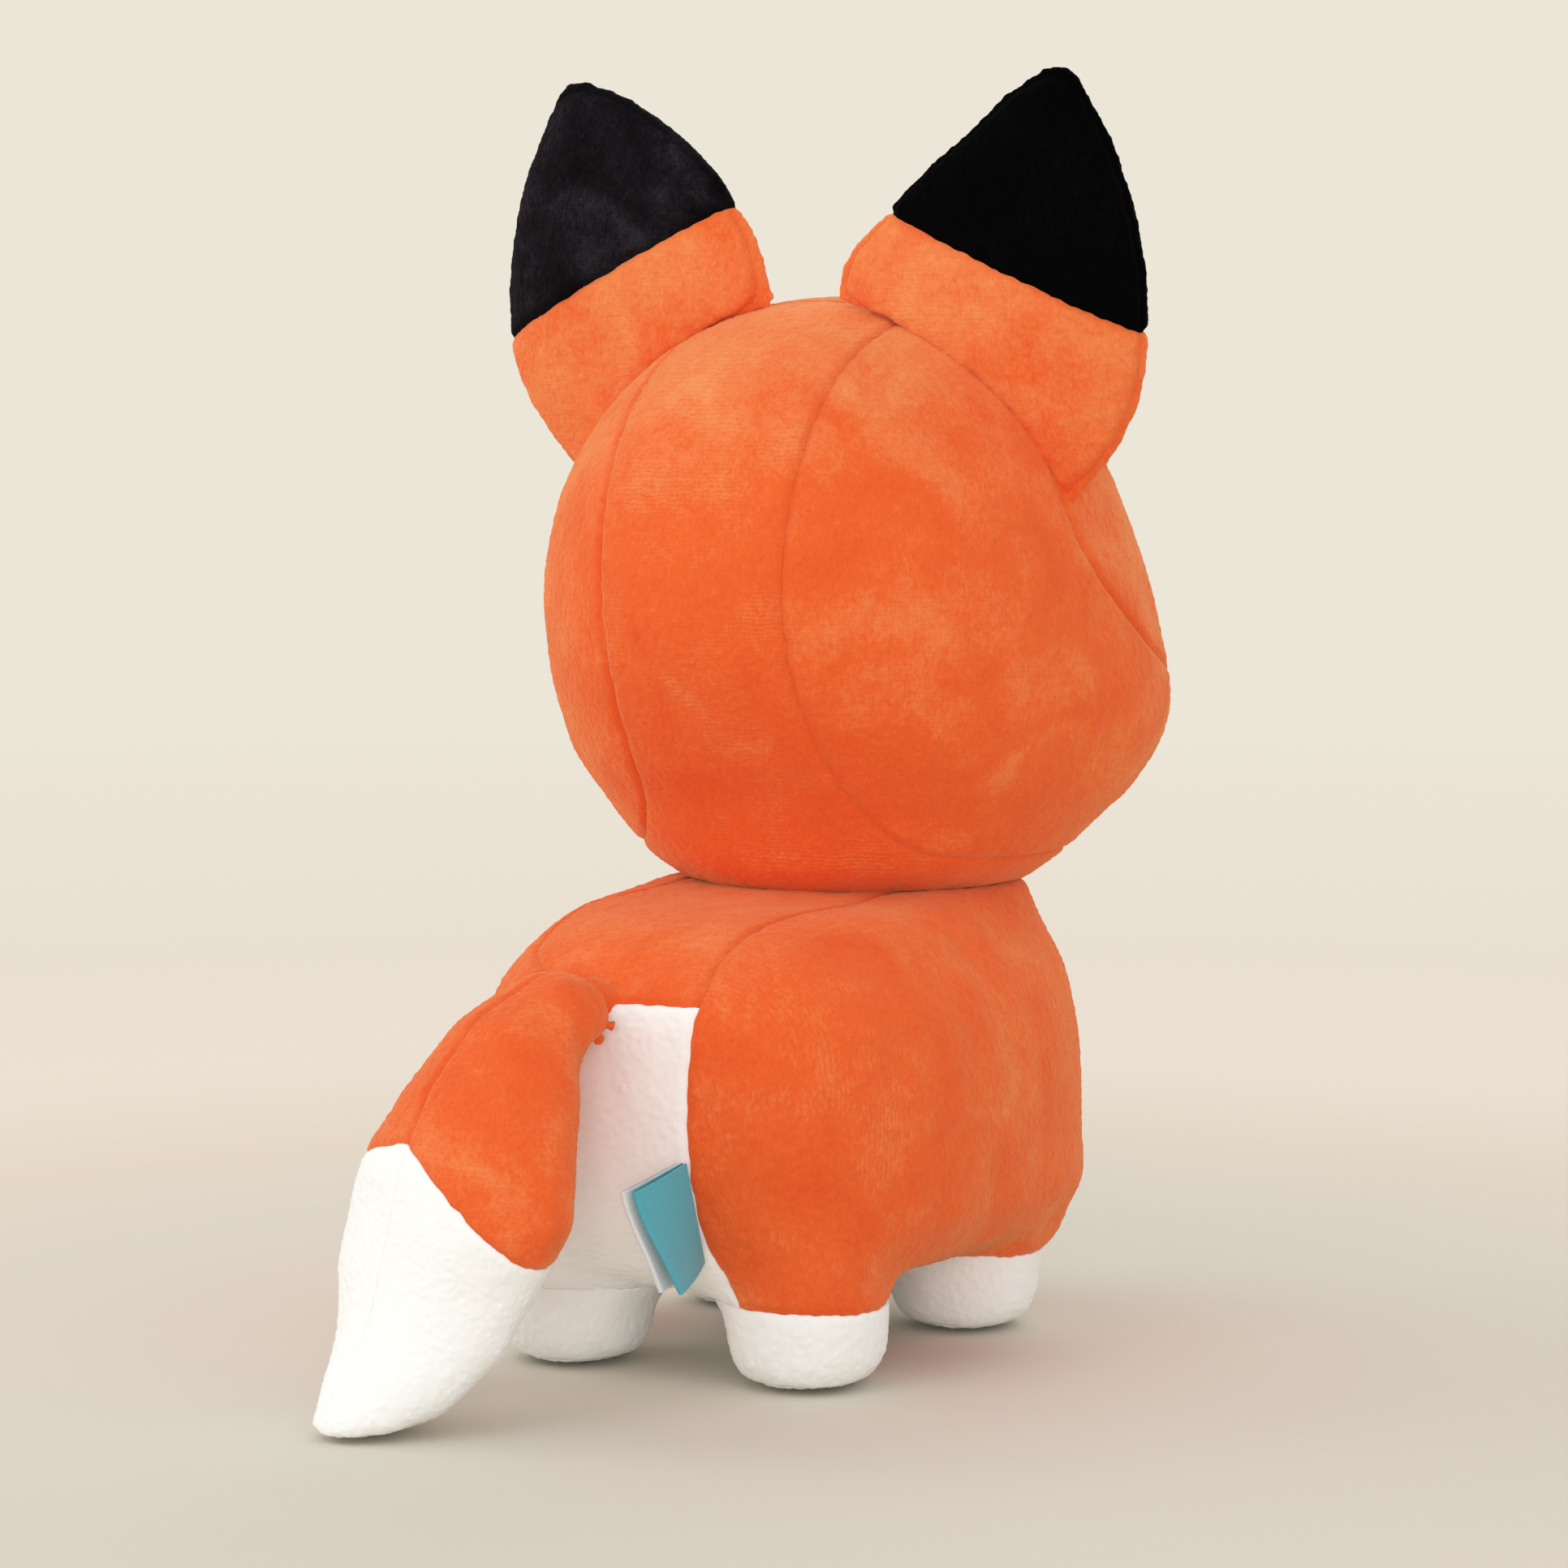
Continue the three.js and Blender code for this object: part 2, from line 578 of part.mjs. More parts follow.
function addEar(name, side) {
  const { middle, along, rise, back } = earFrame(side);
  const hinge = middle.clone().addScaledVector(rise, EAR_HINGE_RISE);
  const room = [-1, -0.5, 0, 0.5, 1].map(
    (share) => turnedAbout(headForm(-RUNNING_GAP), hinge, along, share * EAR_FOLD),
  );
  const shell = cutAway(earForm(side, 0), ...room, earForm(side, SKIN));
  const onBack = behind(middle.clone().addScaledVector(back, SEAM_GAP / 2), back.clone().negate());
  const onFront = behind(middle.clone().addScaledVector(back, -SEAM_GAP / 2), back);
  const seamMiddle = middle.clone().addScaledVector(rise, EAR_TIP_SEAM_SHARE * EAR_HEIGHT);
  const seamNormal = rise.clone().applyAxisAngle(back, rad(-side * EAR_TIP_SEAM_SLOPE));
  const towardsBase = behind(seamMiddle, seamNormal);
  const towardsTip = behind(
    seamMiddle.clone().addScaledVector(seamNormal, SEAM_GAP),
    seamNormal.clone().negate(),
  );
  const lining = (gap) => {
    const rows = EAR_LINING_SHARES.map(([heightShare, centreShare, widthShare]) => ({
      height: heightShare * EAR_HEIGHT,
      centre: centreShare * EAR_HALF_WIDTH,
      half: widthShare * EAR_HALF_WIDTH - gap,
    }));
    rows[0].height += gap;
    rows.at(-1).height -= gap;
    return prism(
      [
        ...rows.map(({ height, centre, half }) => [centre + half, height]),
        ...rows.map(({ height, centre, half }) => [centre - half, height]).reverse(),
      ],
      along,
      rise,
      middle,
    );
  };
  addPart(`ear_${name}_stuffing`, cutAway(earForm(side, SKIN + SEAM_GAP), ...room), materials.filling);
  addPart(`ear_${name}_back_base`, common(shell, onBack, towardsBase), materials.orange);
  addPart(`ear_${name}_back_tip`, common(shell, onBack, towardsTip), materials.black);
  const front = common(shell, onFront);
  addPart(`ear_${name}_lining`, common(front, lining(SEAM_GAP)), materials.white);
  addPart(`ear_${name}_front_base`, common(front, towardsBase).subtract(lining(0)), materials.orange);
  addPart(`ear_${name}_front_tip`, common(front, towardsTip).subtract(lining(0)), materials.black);
}

function addTorso() {
  const legs = [];
  for (const [end, y] of [['front', FRONT_LEG_Y], ['hind', HIND_LEG_Y]]) {
    for (const [name, side] of sides) legs.push([`${end}_${name}`, side * LEG_SPREAD, y]);
  }
  const onHem = up.clone().multiplyScalar(HEM_HEIGHT);
  const nearTorso = torsoForm(-SEAM_GAP);
  const whole = (inset, legGap, belly) => joined(
    torsoForm(inset),
    ...legs.map(([, x, y]) => legForm(x, y, inset).intersect(
      behind(onHem.clone().addScaledVector(up, legGap), up.clone().negate()).add(belly),
    )),
  );
  const ringTop = neckHeight - SEAM_GAP;
  const ringBottom = ringTop - NECK_SEAM_HEIGHT;
  const ringRadius = NECK_DISH_RADIUS + NECK_SEAM_WIDTH;
  const dish = joined(
    ball(neckPivot, dishRadius),
    rod(neckPoint, up, ringRadius + SEAM_GAP, ringBottom - SEAM_GAP, neckHeight + NECK_CREASE),
  );
  const dimple = ball(tailRoot, TAIL_ROOT_RADIUS + RUNNING_GAP);
  addPart('torso_stuffing', cutAway(whole(SKIN + SEAM_GAP, SEAM_GAP, torsoForm(0)), dish, dimple), materials.filling);
  addPart(
    'neck_seam',
    rod(neckPoint, up, ringRadius, ringBottom, ringTop).subtract(ball(neckPivot, dishRadius)),
    materials.thread,
  );

  const skin = cutAway(whole(0, SEAM_GAP, torsoForm(0)), whole(SKIN, 0, nearTorso), dish, dimple);
  const heightAt = (share) => BELLY_HEIGHT + share * TORSO_HEIGHT;
  const bandTop = up.clone().multiplyScalar(heightAt(STRIP_HEIGHT_SHARES.at(-1)[0]) - SEAM_GAP);
  const chestNormal = backward.clone().negate().applyAxisAngle(left, rad(-CHEST_SEAM_TILT));
  const chestPoint = backward.clone().multiplyScalar(CHEST_SEAM_Y).setZ(neckHeight);
  const ahead = (gap) => behind(chestPoint.clone().addScaledVector(chestNormal, gap), chestNormal.clone().negate());
  const behindChest = behind(chestPoint.clone().addScaledVector(chestNormal, -SEAM_GAP), chestNormal);
  const strip = (gap) => joined(
    band(STRIP_HEIGHT_SHARES.map(([s, w]) => [w * TORSO_HALF_WIDTH - gap, heightAt(s)]), left, up),
    band(
      STRIP_LENGTH_SHARES.map(([s, w]) => [w * TORSO_HALF_WIDTH - gap, TORSO_CENTRE_Y + s * TORSO_BACK]),
      left,
      backward,
    ).intersect(behind(bandTop, up.clone().negate())),
  ).subtract(ahead(0));
  const chest = (gap) => common(
    band(CHEST_SHARES.map(([s, w]) => [w * TORSO_HALF_WIDTH - gap, heightAt(s)]), left, up),
    ahead(gap - SEAM_GAP),
  );
  const rumpSeam = up.clone().multiplyScalar(RUMP_SEAM_HEIGHT);
  const onTop = behind(rumpSeam.clone().addScaledVector(up, SEAM_GAP), up.clone().negate());
  const middle = common(skin, strip(SEAM_GAP), behindChest);
  addPart('back_panel', common(middle, onTop), materials.orange);
  addPart('belly_panel', common(middle, behind(rumpSeam, up)), materials.white);
  addPart('chest_panel', common(skin, chest(SEAM_GAP)), materials.white);
  const beside = skin.subtract(joined(strip(0), chest(0)));
  for (const [name, side] of sides) {
    const half = behind(new THREE.Vector3(), left.clone().multiplyScalar(-side));
    addPart(`flank_${name}`, common(beside, half), materials.orange);
  }

  const belowHem = behind(onHem, up);
  for (const [name, x, y] of legs) {
    const point = new THREE.Vector3(x, y, 0);
    const soleHole = rod(point, up, SOLE_RADIUS, -SKIN, SKIN + SEAM_GAP, LEG_SEGMENTS);
    const paw = cutAway(legForm(x, y, 0), nearTorso, legForm(x, y, SKIN), soleHole);
    addPart(`paw_${name}`, common(paw, belowHem), materials.white);
    addPart(`sole_${name}`, rod(point, up, SOLE_RADIUS - SEAM_GAP, 0, SKIN, LEG_SEGMENTS), materials.white);
    addPart(
      `paw_${name}_stuffing`,
      common(legForm(x, y, SKIN + SEAM_GAP).subtract(nearTorso), belowHem),
      materials.filling,
    );
  }
}

function addTail() {
  addPart('tail_root', ball(tailRoot, TAIL_ROOT_RADIUS), materials.orange);
  const room = [ball(tailRoot, TAIL_ROOT_RADIUS + RUNNING_GAP)];
  for (const swing of [-TAIL_SWING, 0, TAIL_SWING]) {
    const swung = turnedAbout(torsoForm(-RUNNING_GAP), tailRoot, up, swing);
    for (const share of [0, 0.5, 1]) room.push(turnedAbout(swung, tailRoot, tailAcross, -share * TAIL_LIFT));
  }
  const shell = cutAway(tailForm(0), ...room, tailForm(SKIN));
  addPart('tail_stuffing', cutAway(tailForm(SKIN + SEAM_GAP), ...room), materials.filling);

  const seamPoint = tailPath.getPoint(TAIL_SEAM_SHARE);
  const ahead = tailPath.getTangent(TAIL_SEAM_SHARE);
  const ridge = tailAcross.clone().cross(ahead).normalize();
  const beyond = (gap) => joined(...[1, -1].map((side) => {
    const normal = ahead.clone().applyAxisAngle(ridge, side * rad(TAIL_SEAM_SLOPE));
    return behind(seamPoint.clone().addScaledVector(ahead, gap), normal);
  }));
  const tip = shell.subtract(beyond(SEAM_GAP));
  const base = common(shell, beyond(0));
  for (const [name, side] of sides) {
    const half = behind(
      tailRoot.clone().addScaledVector(tailAcross, (side * SEAM_GAP) / 2),
      tailAcross.clone().multiplyScalar(-side),
    );
    addPart(`tail_base_${name}`, common(base, half), materials.orange);
    addPart(`tail_tip_${name}`, common(tip, half), materials.white);
  }
}

// A label folded double, its cut ends at the seam and its fold outside, hanging down from the origin.
function labelLoop(length) {
  const [outside, inside] = [LABEL_SHEET + LABEL_FOLD_GAP / 2, LABEL_FOLD_GAP / 2];
  const bend = (radius, from, to) => Array.from({ length: DOME_STEPS + 1 }, (_, i) => {
    const angle = from + (i / DOME_STEPS) * (to - from);
    return [LABEL_REACH - outside + radius * Math.cos(angle), radius * Math.sin(angle)];
  });
  const outline = [
    [0, -outside],
    ...bend(outside, -Math.PI / 2, Math.PI / 2),
    [0, outside],
    [0, inside],
    ...bend(inside, Math.PI / 2, -Math.PI / 2),
    [0, -inside],
  ];
  const shape = new THREE.Shape(outline.map(([a, b]) => new THREE.Vector2(a, b)));
  const loop = new THREE.ExtrudeGeometry(shape, { depth: length, bevelEnabled: false });
  loop.translate(0, 0, -length);
  loop.applyMatrix4(new THREE.Matrix4().makeShear(0, -Math.tan(rad(LABEL_DROOP)), 0, 0, 0, 0));
  return loop;
}

function addLabels() {
  const share = (LABEL_TOP_HEIGHT - BELLY_HEIGHT) / TORSO_HEIGHT;
  const [, widthShare, backShare, frontShare] = TORSO_SECTION_SHARES.findLast(([s]) => s <= share);
  const seamX = STRIP_HEIGHT_SHARES.find(([s]) => s >= share)[1] * TORSO_HALF_WIDTH;
  const bulge = (1 - (seamX / (widthShare * TORSO_HALF_WIDTH)) ** TORSO_CORNER_POWER) ** (1 / TORSO_CORNER_POWER);
  const [back, front] = [backShare * TORSO_BACK, frontShare * TORSO_FRONT];
  const seam = new THREE.Vector3(
    -seamX,
    TORSO_CENTRE_Y + (back - front) / 2 + ((back + front) / 2) * bulge,
    LABEL_TOP_HEIGHT,
  );
  const pitch = 2 * LABEL_SHEET + LABEL_FOLD_GAP + SEAM_GAP;
  const labels = [
    ['brand_label', LABEL_LENGTH, pitch / 2, materials.teal],
    ['care_label', LABEL_LENGTH * CARE_LABEL_SHARE, -pitch / 2, materials.paper],
  ];
  for (const [name, length, shift, material] of labels) {
    const loop = labelLoop(length);
    loop.translate(LABEL_ROOT_GAP, shift, 0);
    loop.rotateY(rad(LABEL_LEAN));
    loop.rotateZ(Math.PI / 2);
    loop.translate(...seam);
    addPart(name, solidOf(loop), material);
  }
}

addHead();
for (const [name, side] of sides) addEar(name, side);
addTorso();
addTail();
addLabels();

const middle = new THREE.Box3().setFromObject(model).getCenter(new THREE.Vector3()).setZ(0);
for (const part of model.children) part.geometry.translate(...middle.clone().negate());
export default model;
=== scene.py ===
"""Looks for the stuffed fox: sewn plush panels over padded forms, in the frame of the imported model."""

import json
import math

import bmesh
import bpy
import numpy as np
from bpy.props import FloatProperty, IntProperty, PointerProperty
from mathutils import Matrix, Vector
from mathutils.bvhtree import BVHTree
from mathutils.kdtree import KDTree


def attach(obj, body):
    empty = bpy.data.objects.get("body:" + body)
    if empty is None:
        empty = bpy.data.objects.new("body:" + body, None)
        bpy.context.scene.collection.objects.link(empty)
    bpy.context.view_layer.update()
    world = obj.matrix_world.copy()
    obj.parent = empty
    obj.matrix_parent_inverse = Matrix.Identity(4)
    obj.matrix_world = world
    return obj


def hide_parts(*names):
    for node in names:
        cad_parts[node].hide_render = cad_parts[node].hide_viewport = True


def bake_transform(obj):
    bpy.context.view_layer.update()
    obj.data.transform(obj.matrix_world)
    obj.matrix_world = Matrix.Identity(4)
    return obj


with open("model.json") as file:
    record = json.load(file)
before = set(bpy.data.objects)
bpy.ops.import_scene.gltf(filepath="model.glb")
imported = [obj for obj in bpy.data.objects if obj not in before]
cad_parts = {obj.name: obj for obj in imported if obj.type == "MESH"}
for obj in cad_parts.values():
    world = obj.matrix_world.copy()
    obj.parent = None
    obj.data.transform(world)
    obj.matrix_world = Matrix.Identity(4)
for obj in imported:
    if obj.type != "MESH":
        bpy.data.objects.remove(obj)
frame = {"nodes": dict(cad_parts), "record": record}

bl_info = {
    "name": "Plush fox",
    "version": (1, 0, 0),
    "blender": (4, 5, 0),
    "location": "3D View > Sidebar > Plush fox",
    "description": "Sews the plush panels, the filling, the buttons and the labels of a stuffed fox",
    "category": "Object",
}

# The seams are drawn in millimetres, with Y counted from the ears as in the part's source.
MM = 1000
NECK_CENTRE_Y = -18
NECK_HEIGHT = 99
HEAD_CENTRE = (0, -13, 161.7)
HEAD_BOTTOM = 100.7
HEAD_HALF_WIDTH, HEAD_BACK, HEAD_FRONT, HEAD_RISE, HEAD_DROP = 65.5, 70, 60, 68.5, 61
# how square the head is in plan, above and below its middle, and how far its padding stands out
HEAD_PLAN_POWER, HEAD_TOP_POWER, HEAD_UNDER_POWER, HEAD_PADDING = 2.15, 2.05, 3, 8
# share of the head's height, and the gusset's half width there as a share of the head's
GUSSET = ((0.032, 0.9), (0.05, 0.585), (0.075, 0.49), (0.13, 0.42), (0.21, 0.37), (0.38, 0.342), (0.6, 0.35),
          (0.76, 0.375), (1, 0.385))
# height, and how far the gusset's middle lies to the fox's left there
GUSSET_ASIDE = ((100, 0), (118, 0), (140, 1.0), (165, 2.4), (200, 4.0), (215, 4.0), (232, 1.5))
# places back from and above the head's centre, as shares of its front reach and its rise
FACE_SEAM = ((0.2, 0.62), (0.2, 0.32), (0.14, 0.17), (-0.067, -0.01), (-0.27, -0.14), (-0.62, -0.27), (-0.85, -0.24),
             (-1.02, -0.15))
CHEEK_SEAM = ((-0.62, -0.27), (-0.52, -0.5), (-0.5, -0.7))
FACE_LINE_END, CHEEK_LINE_TOP, CHEEK_LINE_FOOT = 400, 60, -200
MUZZLE_PATCH = 19
MUZZLE_WAY = (0, -1, -0.4)

BELLY_HEIGHT, TORSO_HEIGHT, TORSO_HALF_WIDTH, TORSO_BACK, TORSO_CENTRE_Y = 16, 83, 58, 64, 20
# half width of the back's strip, as a share of the torso's, by share of the height (right, then left) and of the
# length (right, then left), and the height where one takes over from the other
STRIP_BY_HEIGHT = ((0, 0.36), (0.08, 0.33), (0.16, 0.29), (0.4, 0.245), (0.7, 0.255), (0.84, 0.285))
STRIP_BEHIND_TAIL = ((0, 0.5), (0.16, 0.47), (0.3, 0.38), (0.45, 0.29), (0.7, 0.275), (0.84, 0.285))
STRIP_BY_LENGTH = ((-0.2, 0.42), (0.3, 0.33), (0.7, 0.275), (0.98, 0.28))
STRIP_FAR_SIDE = ((-0.2, 0.5), (0.3, 0.62), (0.63, 0.6), (0.9, 0.52), (0.98, 0.45))
STRIP_TURN, STRIP_TURN_RUN = 0.8, 0.08
CHEST = ((0, 0.36), (0.15, 0.42), (0.4, 0.5), (0.7, 0.52), (0.9, 0.47), (1, 0.43))
CHEST_SEAM_Y, CHEST_SEAM_TILT = -16, 15
RUMP_SEAM_HEIGHT = 82
HEM_WAVE, HEM_WAVE_MIDDLE, HEM_WAVE_LENGTH, PAW_PADDING, SOLE_TOP, NO_SOLE = 1.1, 20, 12, 1.5, 6, 9
LEG_SPREAD, HIND_LEG_Y, FRONT_LEG_Y, LEG_RADIUS, HEM_HEIGHT, SOLE_RADIUS = 28.4, 56, -16.6, 18.8, 18.5, 12

EAR_HEIGHT, EAR_HALF_WIDTH, EAR_HINGE_RISE = 70.5, 36.5, 4
EAR_TIP_SEAM, EAR_TIP_SLOPE, EAR_SEAM_BACK = 0.44, 15, 1.6
# height as a share of the ear's, and the lining's middle and half width there as shares of its half width
EAR_LINING = ((0.2, -0.06, 0.3), (0.24, -0.07, 0.43), (0.31, -0.09, 0.52), (0.41, -0.12, 0.55), (0.51, -0.16, 0.5),
              (0.61, -0.22, 0.37), (0.7, -0.29, 0.2), (0.75, -0.33, 0.07))

TAIL_REACH, TAIL_DROP = 73, 80.5
TAIL_SEAM_SLOPES = {"left": 8, "right": 32}
# where the white tip's seam crosses the ridge, as shares of the reach and the drop, and the way that the tail runs
TAIL_SEAM_OUT, TAIL_SEAM_DOWN, TAIL_WAY_OUT, TAIL_WAY_DOWN = 0.4935, 0.4065, 0.385, 0.923

SIDES = (("left", 1), ("right", -1))
LEGS = [(f"{end}_{side}", sign * LEG_SPREAD, y)
        for end, y in (("front", FRONT_LEG_Y), ("hind", HIND_LEG_Y)) for side, sign in SIDES]
JOINTS = {joint["name"]: joint for joint in frame["record"]["behaviour"]["joints"]}
SHIFT_Y = NECK_CENTRE_Y - JOINTS["head_turn"]["pos_m"][1] * MM


# ---------------------------------------------------------------- fields of the seams

def drawn(points):
    """Points of the model, in metres, as the seams' drawing has them."""
    return np.asarray(points, float) * MM + (0, SHIFT_Y, 0)


def placed(point):
    """A point of the drawing in the model, in metres."""
    return Vector((point[0] / MM, (point[1] - SHIFT_Y) / MM, point[2] / MM))


def eased(points, rounds=2):
    """An open line with its corners cut, for a seam that a machine can sew."""
    line = np.asarray(points, float)
    for _ in range(rounds):
        first, second = line[:-1], line[1:]
        cut = np.stack([first * 0.75 + second * 0.25, first * 0.25 + second * 0.75], 1).reshape(-1, line.shape[1])
        line = np.concatenate([line[:1], cut[1:-1], line[-1:]])
    return line


def beside(line, a, b):
    """Signed distance of points (a, b) from an open line: positive on its left."""
    query = np.stack([a, b], -1)
    best = np.full(len(query), np.inf)
    sign = np.ones(len(query))
    for start, end in zip(line[:-1], line[1:]):
        run = end - start
        share = np.clip(((query - start) @ run) / (run @ run), 0, 1)
        gap = query - start - share[:, None] * run
        reach = np.hypot(gap[:, 0], gap[:, 1])
        near = reach < best
        best = np.where(near, reach, best)
        turn = run[0] * (query[:, 1] - start[1]) - run[1] * (query[:, 0] - start[0])
        sign = np.where(near, np.where(turn >= 0, 1, -1), sign)
    return best * sign


def follow(table, value, scale=1.0):
    """Reads a table as a smooth line."""
    keys, values = np.array(table, float).T
    order = np.argsort(keys)
    fine = eased(np.stack([keys[order], values[order]], -1), 2)
    return np.interp(value, fine[:, 0], fine[:, 1]) * scale


def head_reach(way):
    """How far the padded head reaches from its centre."""
    x, y, z = Vector(way).normalized()
    plan = (abs(x / HEAD_HALF_WIDTH) ** HEAD_PLAN_POWER
            + abs(y / (HEAD_BACK if y > 0 else HEAD_FRONT)) ** HEAD_PLAN_POWER) ** (1 / HEAD_PLAN_POWER)
    power, height = (HEAD_TOP_POWER, HEAD_RISE) if z > 0 else (HEAD_UNDER_POWER, HEAD_DROP)
    return (plan ** power + abs(z / height) ** power) ** (-1 / power) + HEAD_PADDING


def head_fields():
    shares = np.array(FACE_SEAM, float) * (HEAD_FRONT, HEAD_RISE) + HEAD_CENTRE[1:]
    face_line = eased([(shares[0][0], FACE_LINE_END), *shares, (-FACE_LINE_END, shares[-1][1])])
    cheek = np.array(CHEEK_SEAM, float) * (HEAD_FRONT, HEAD_RISE) + HEAD_CENTRE[1:]
    cheek_line = eased([(cheek[0][0], HEAD_CENTRE[2] + CHEEK_LINE_TOP), *cheek, (cheek[-1][0], CHEEK_LINE_FOOT)])
    muzzle = np.array(HEAD_CENTRE) + np.array(Vector(MUZZLE_WAY).normalized()) * head_reach(MUZZLE_WAY)
    return {
        "gusset": lambda p: np.abs(p[:, 0] - follow(GUSSET_ASIDE, p[:, 2])) - follow(
            GUSSET, (p[:, 2] - HEAD_BOTTOM) / (HEAD_RISE + HEAD_DROP), HEAD_HALF_WIDTH),
        "face": lambda p: beside(face_line, p[:, 1], p[:, 2]),
        "cheek": lambda p: beside(cheek_line, p[:, 1], p[:, 2]),
        "muzzle": lambda p: np.linalg.norm(p - muzzle, axis=1) - MUZZLE_PATCH,
        "middle": lambda p: p[:, 0],
    }


def head_panels(value):
    side = value["middle"] > 0
    return np.select(
        [value["muzzle"] < 0, value["face"] < 0, (value["cheek"] < 0) & side, value["cheek"] < 0,
         value["gusset"] < 0, side],
        [0, 1, 2, 3, 4, 5], 6)


HEAD_PANELS = ("face_muzzle", "face_forehead", "face_cheek_left", "face_cheek_right", "head_gusset",
               "head_side_left", "head_side_right")


def torso_fields():
    def strip(p):
        share = (p[:, 2] - BELLY_HEIGHT) / TORSO_HEIGHT
        by_height = np.where(p[:, 0] > 0, follow(STRIP_BEHIND_TAIL, share, TORSO_HALF_WIDTH),
                             follow(STRIP_BY_HEIGHT, share, TORSO_HALF_WIDTH))
        length = (p[:, 1] - TORSO_CENTRE_Y) / TORSO_BACK
        by_length = np.where(p[:, 0] > 0, follow(STRIP_FAR_SIDE, length, TORSO_HALF_WIDTH),
                             follow(STRIP_BY_LENGTH, length, TORSO_HALF_WIDTH))
        mix = np.clip((share - STRIP_TURN) / STRIP_TURN_RUN, 0, 1)
        return np.abs(p[:, 0]) - by_height * (1 - mix) - by_length * mix

    def ahead(p):
        tilt = math.radians(CHEST_SEAM_TILT)
        return (p[:, 1] - CHEST_SEAM_Y) * -math.cos(tilt) + (p[:, 2] - NECK_HEIGHT) * math.sin(tilt)

    def leg(p):
        return np.min([np.hypot(p[:, 0] - x, p[:, 1] - y) for _, x, y in LEGS], axis=0)

    return {
        "strip": strip,
        "ahead": ahead,
        "chest": lambda p: np.abs(p[:, 0]) - follow(
            CHEST, (p[:, 2] - BELLY_HEIGHT) / TORSO_HEIGHT, TORSO_HALF_WIDTH),
        "rump": lambda p: p[:, 2] - RUMP_SEAM_HEIGHT,
        "hem": lambda p: p[:, 2] - HEM_HEIGHT - HEM_WAVE * np.cos((p[:, 1] - HEM_WAVE_MIDDLE) / HEM_WAVE_LENGTH),
        "leg": lambda p: leg(p) - LEG_RADIUS - PAW_PADDING,
        "sole": lambda p: np.where(p[:, 2] < SOLE_TOP, leg(p) - SOLE_RADIUS, NO_SOLE),
        "middle": lambda p: p[:, 0],
        "length": lambda p: p[:, 1] - TORSO_CENTRE_Y,
    }


def torso_panels(value):
    side, hind = value["middle"] > 0, value["length"] > 0
    corner = np.where(hind, np.where(side, 2, 3), np.where(side, 0, 1))
    below = (value["hem"] < 0) & (value["leg"] < 0)
    strip = (value["strip"] < 0) & (value["ahead"] < 0)
    return np.select(
        [below & (value["sole"] < 0), below, (value["chest"] < 0) & (value["ahead"] > 0),
         strip & (value["rump"] > 0), strip, side],
        [corner + 4, corner, 8, 9, 10, 11], 12)


TORSO_PANELS = (*[f"paw_{name}" for name, _, _ in LEGS], *[f"sole_{name}" for name, _, _ in LEGS],
                "chest_panel", "back_panel", "belly_panel", "flank_left", "flank_right")


def ear_frame(name, sign):
    """The middle of the ear's chord, and the ways along it, up it and behind it, in the drawing."""
    joint = JOINTS[f"ear_{name}_fold"]
    along = np.array(joint["axis"], float) * sign
    along /= np.linalg.norm(along)
    rise = np.array((sign * -along[2], 0, sign * along[0]))
    rise /= np.linalg.norm(rise)
    back = np.cross(rise, along) * sign
    return drawn(joint["pos_m"]) - rise * EAR_HINGE_RISE, along, rise, back


def ear_fields(name, sign):
    middle, along, rise, back = ear_frame(name, sign)
    turn = Matrix.Rotation(math.radians(-sign * EAR_TIP_SLOPE), 3, Vector(back))
    across_tip = np.array(turn @ Vector(rise))
    seam = middle + rise * EAR_TIP_SEAM * EAR_HEIGHT
    rows = np.array(EAR_LINING, float) * (EAR_HEIGHT, EAR_HALF_WIDTH, EAR_HALF_WIDTH)
    fine = eased(rows, 2)
    lowest, highest = fine[0][0], fine[-1][0]

    def lining(p):
        height = (p - middle) @ rise
        centre = np.interp(height, fine[:, 0], fine[:, 1])
        half = np.interp(height, fine[:, 0], fine[:, 2])
        within = np.abs((p - middle) @ along - centre) - half
        return np.maximum(within, np.maximum(lowest - height, height - highest))

    return {
        "back": lambda p: (p - middle) @ back - EAR_SEAM_BACK,
        "tip": lambda p: (p - seam) @ across_tip,
        "lining": lining,
    }


def ear_panels(value):
    back, tip = value["back"] > 0, value["tip"] > 0
    return np.select([back & tip, back, value["lining"] < 0, tip], [0, 1, 2, 3], 4)


EAR_PANELS = ("back_tip", "back_base", "lining", "front_tip", "front_base")


def tail_frame():
    across = np.array(JOINTS["tail_lift"]["axis"], float)
    across /= np.linalg.norm(across)
    return drawn(JOINTS["tail_lift"]["pos_m"]), across, np.cross((0, 0, 1), across)


def tail_fields():
    root, across, out = tail_frame()
    seam = root + out * TAIL_SEAM_OUT * TAIL_REACH - np.array((0, 0, TAIL_SEAM_DOWN * TAIL_DROP))
    ahead = out * TAIL_WAY_OUT - np.array((0, 0, TAIL_WAY_DOWN))
    ridge = np.cross(across, ahead)
    ways = [np.array(Matrix.Rotation(math.radians(sign * TAIL_SEAM_SLOPES[name]), 3, Vector(ridge)) @ Vector(ahead))
            for name, sign in SIDES]
    return {
        "side": lambda p: (p - root) @ across,
        "tip": lambda p: np.min([(p - seam) @ way for way in ways], axis=0),
    }


def tail_panels(value):
    side, tip = value["side"] > 0, value["tip"] > 0
    return np.select([side & tip, tip, side], [0, 1, 2], 3)


TAIL_PANELS = ("tail_tip_left", "tail_tip_right", "tail_base_left", "tail_base_right")


# ---------------------------------------------------------------- shaping

def bell(value, width):
    """1 at zero, and less on both sides of it."""
    return np.exp(-((value / width) ** 2))


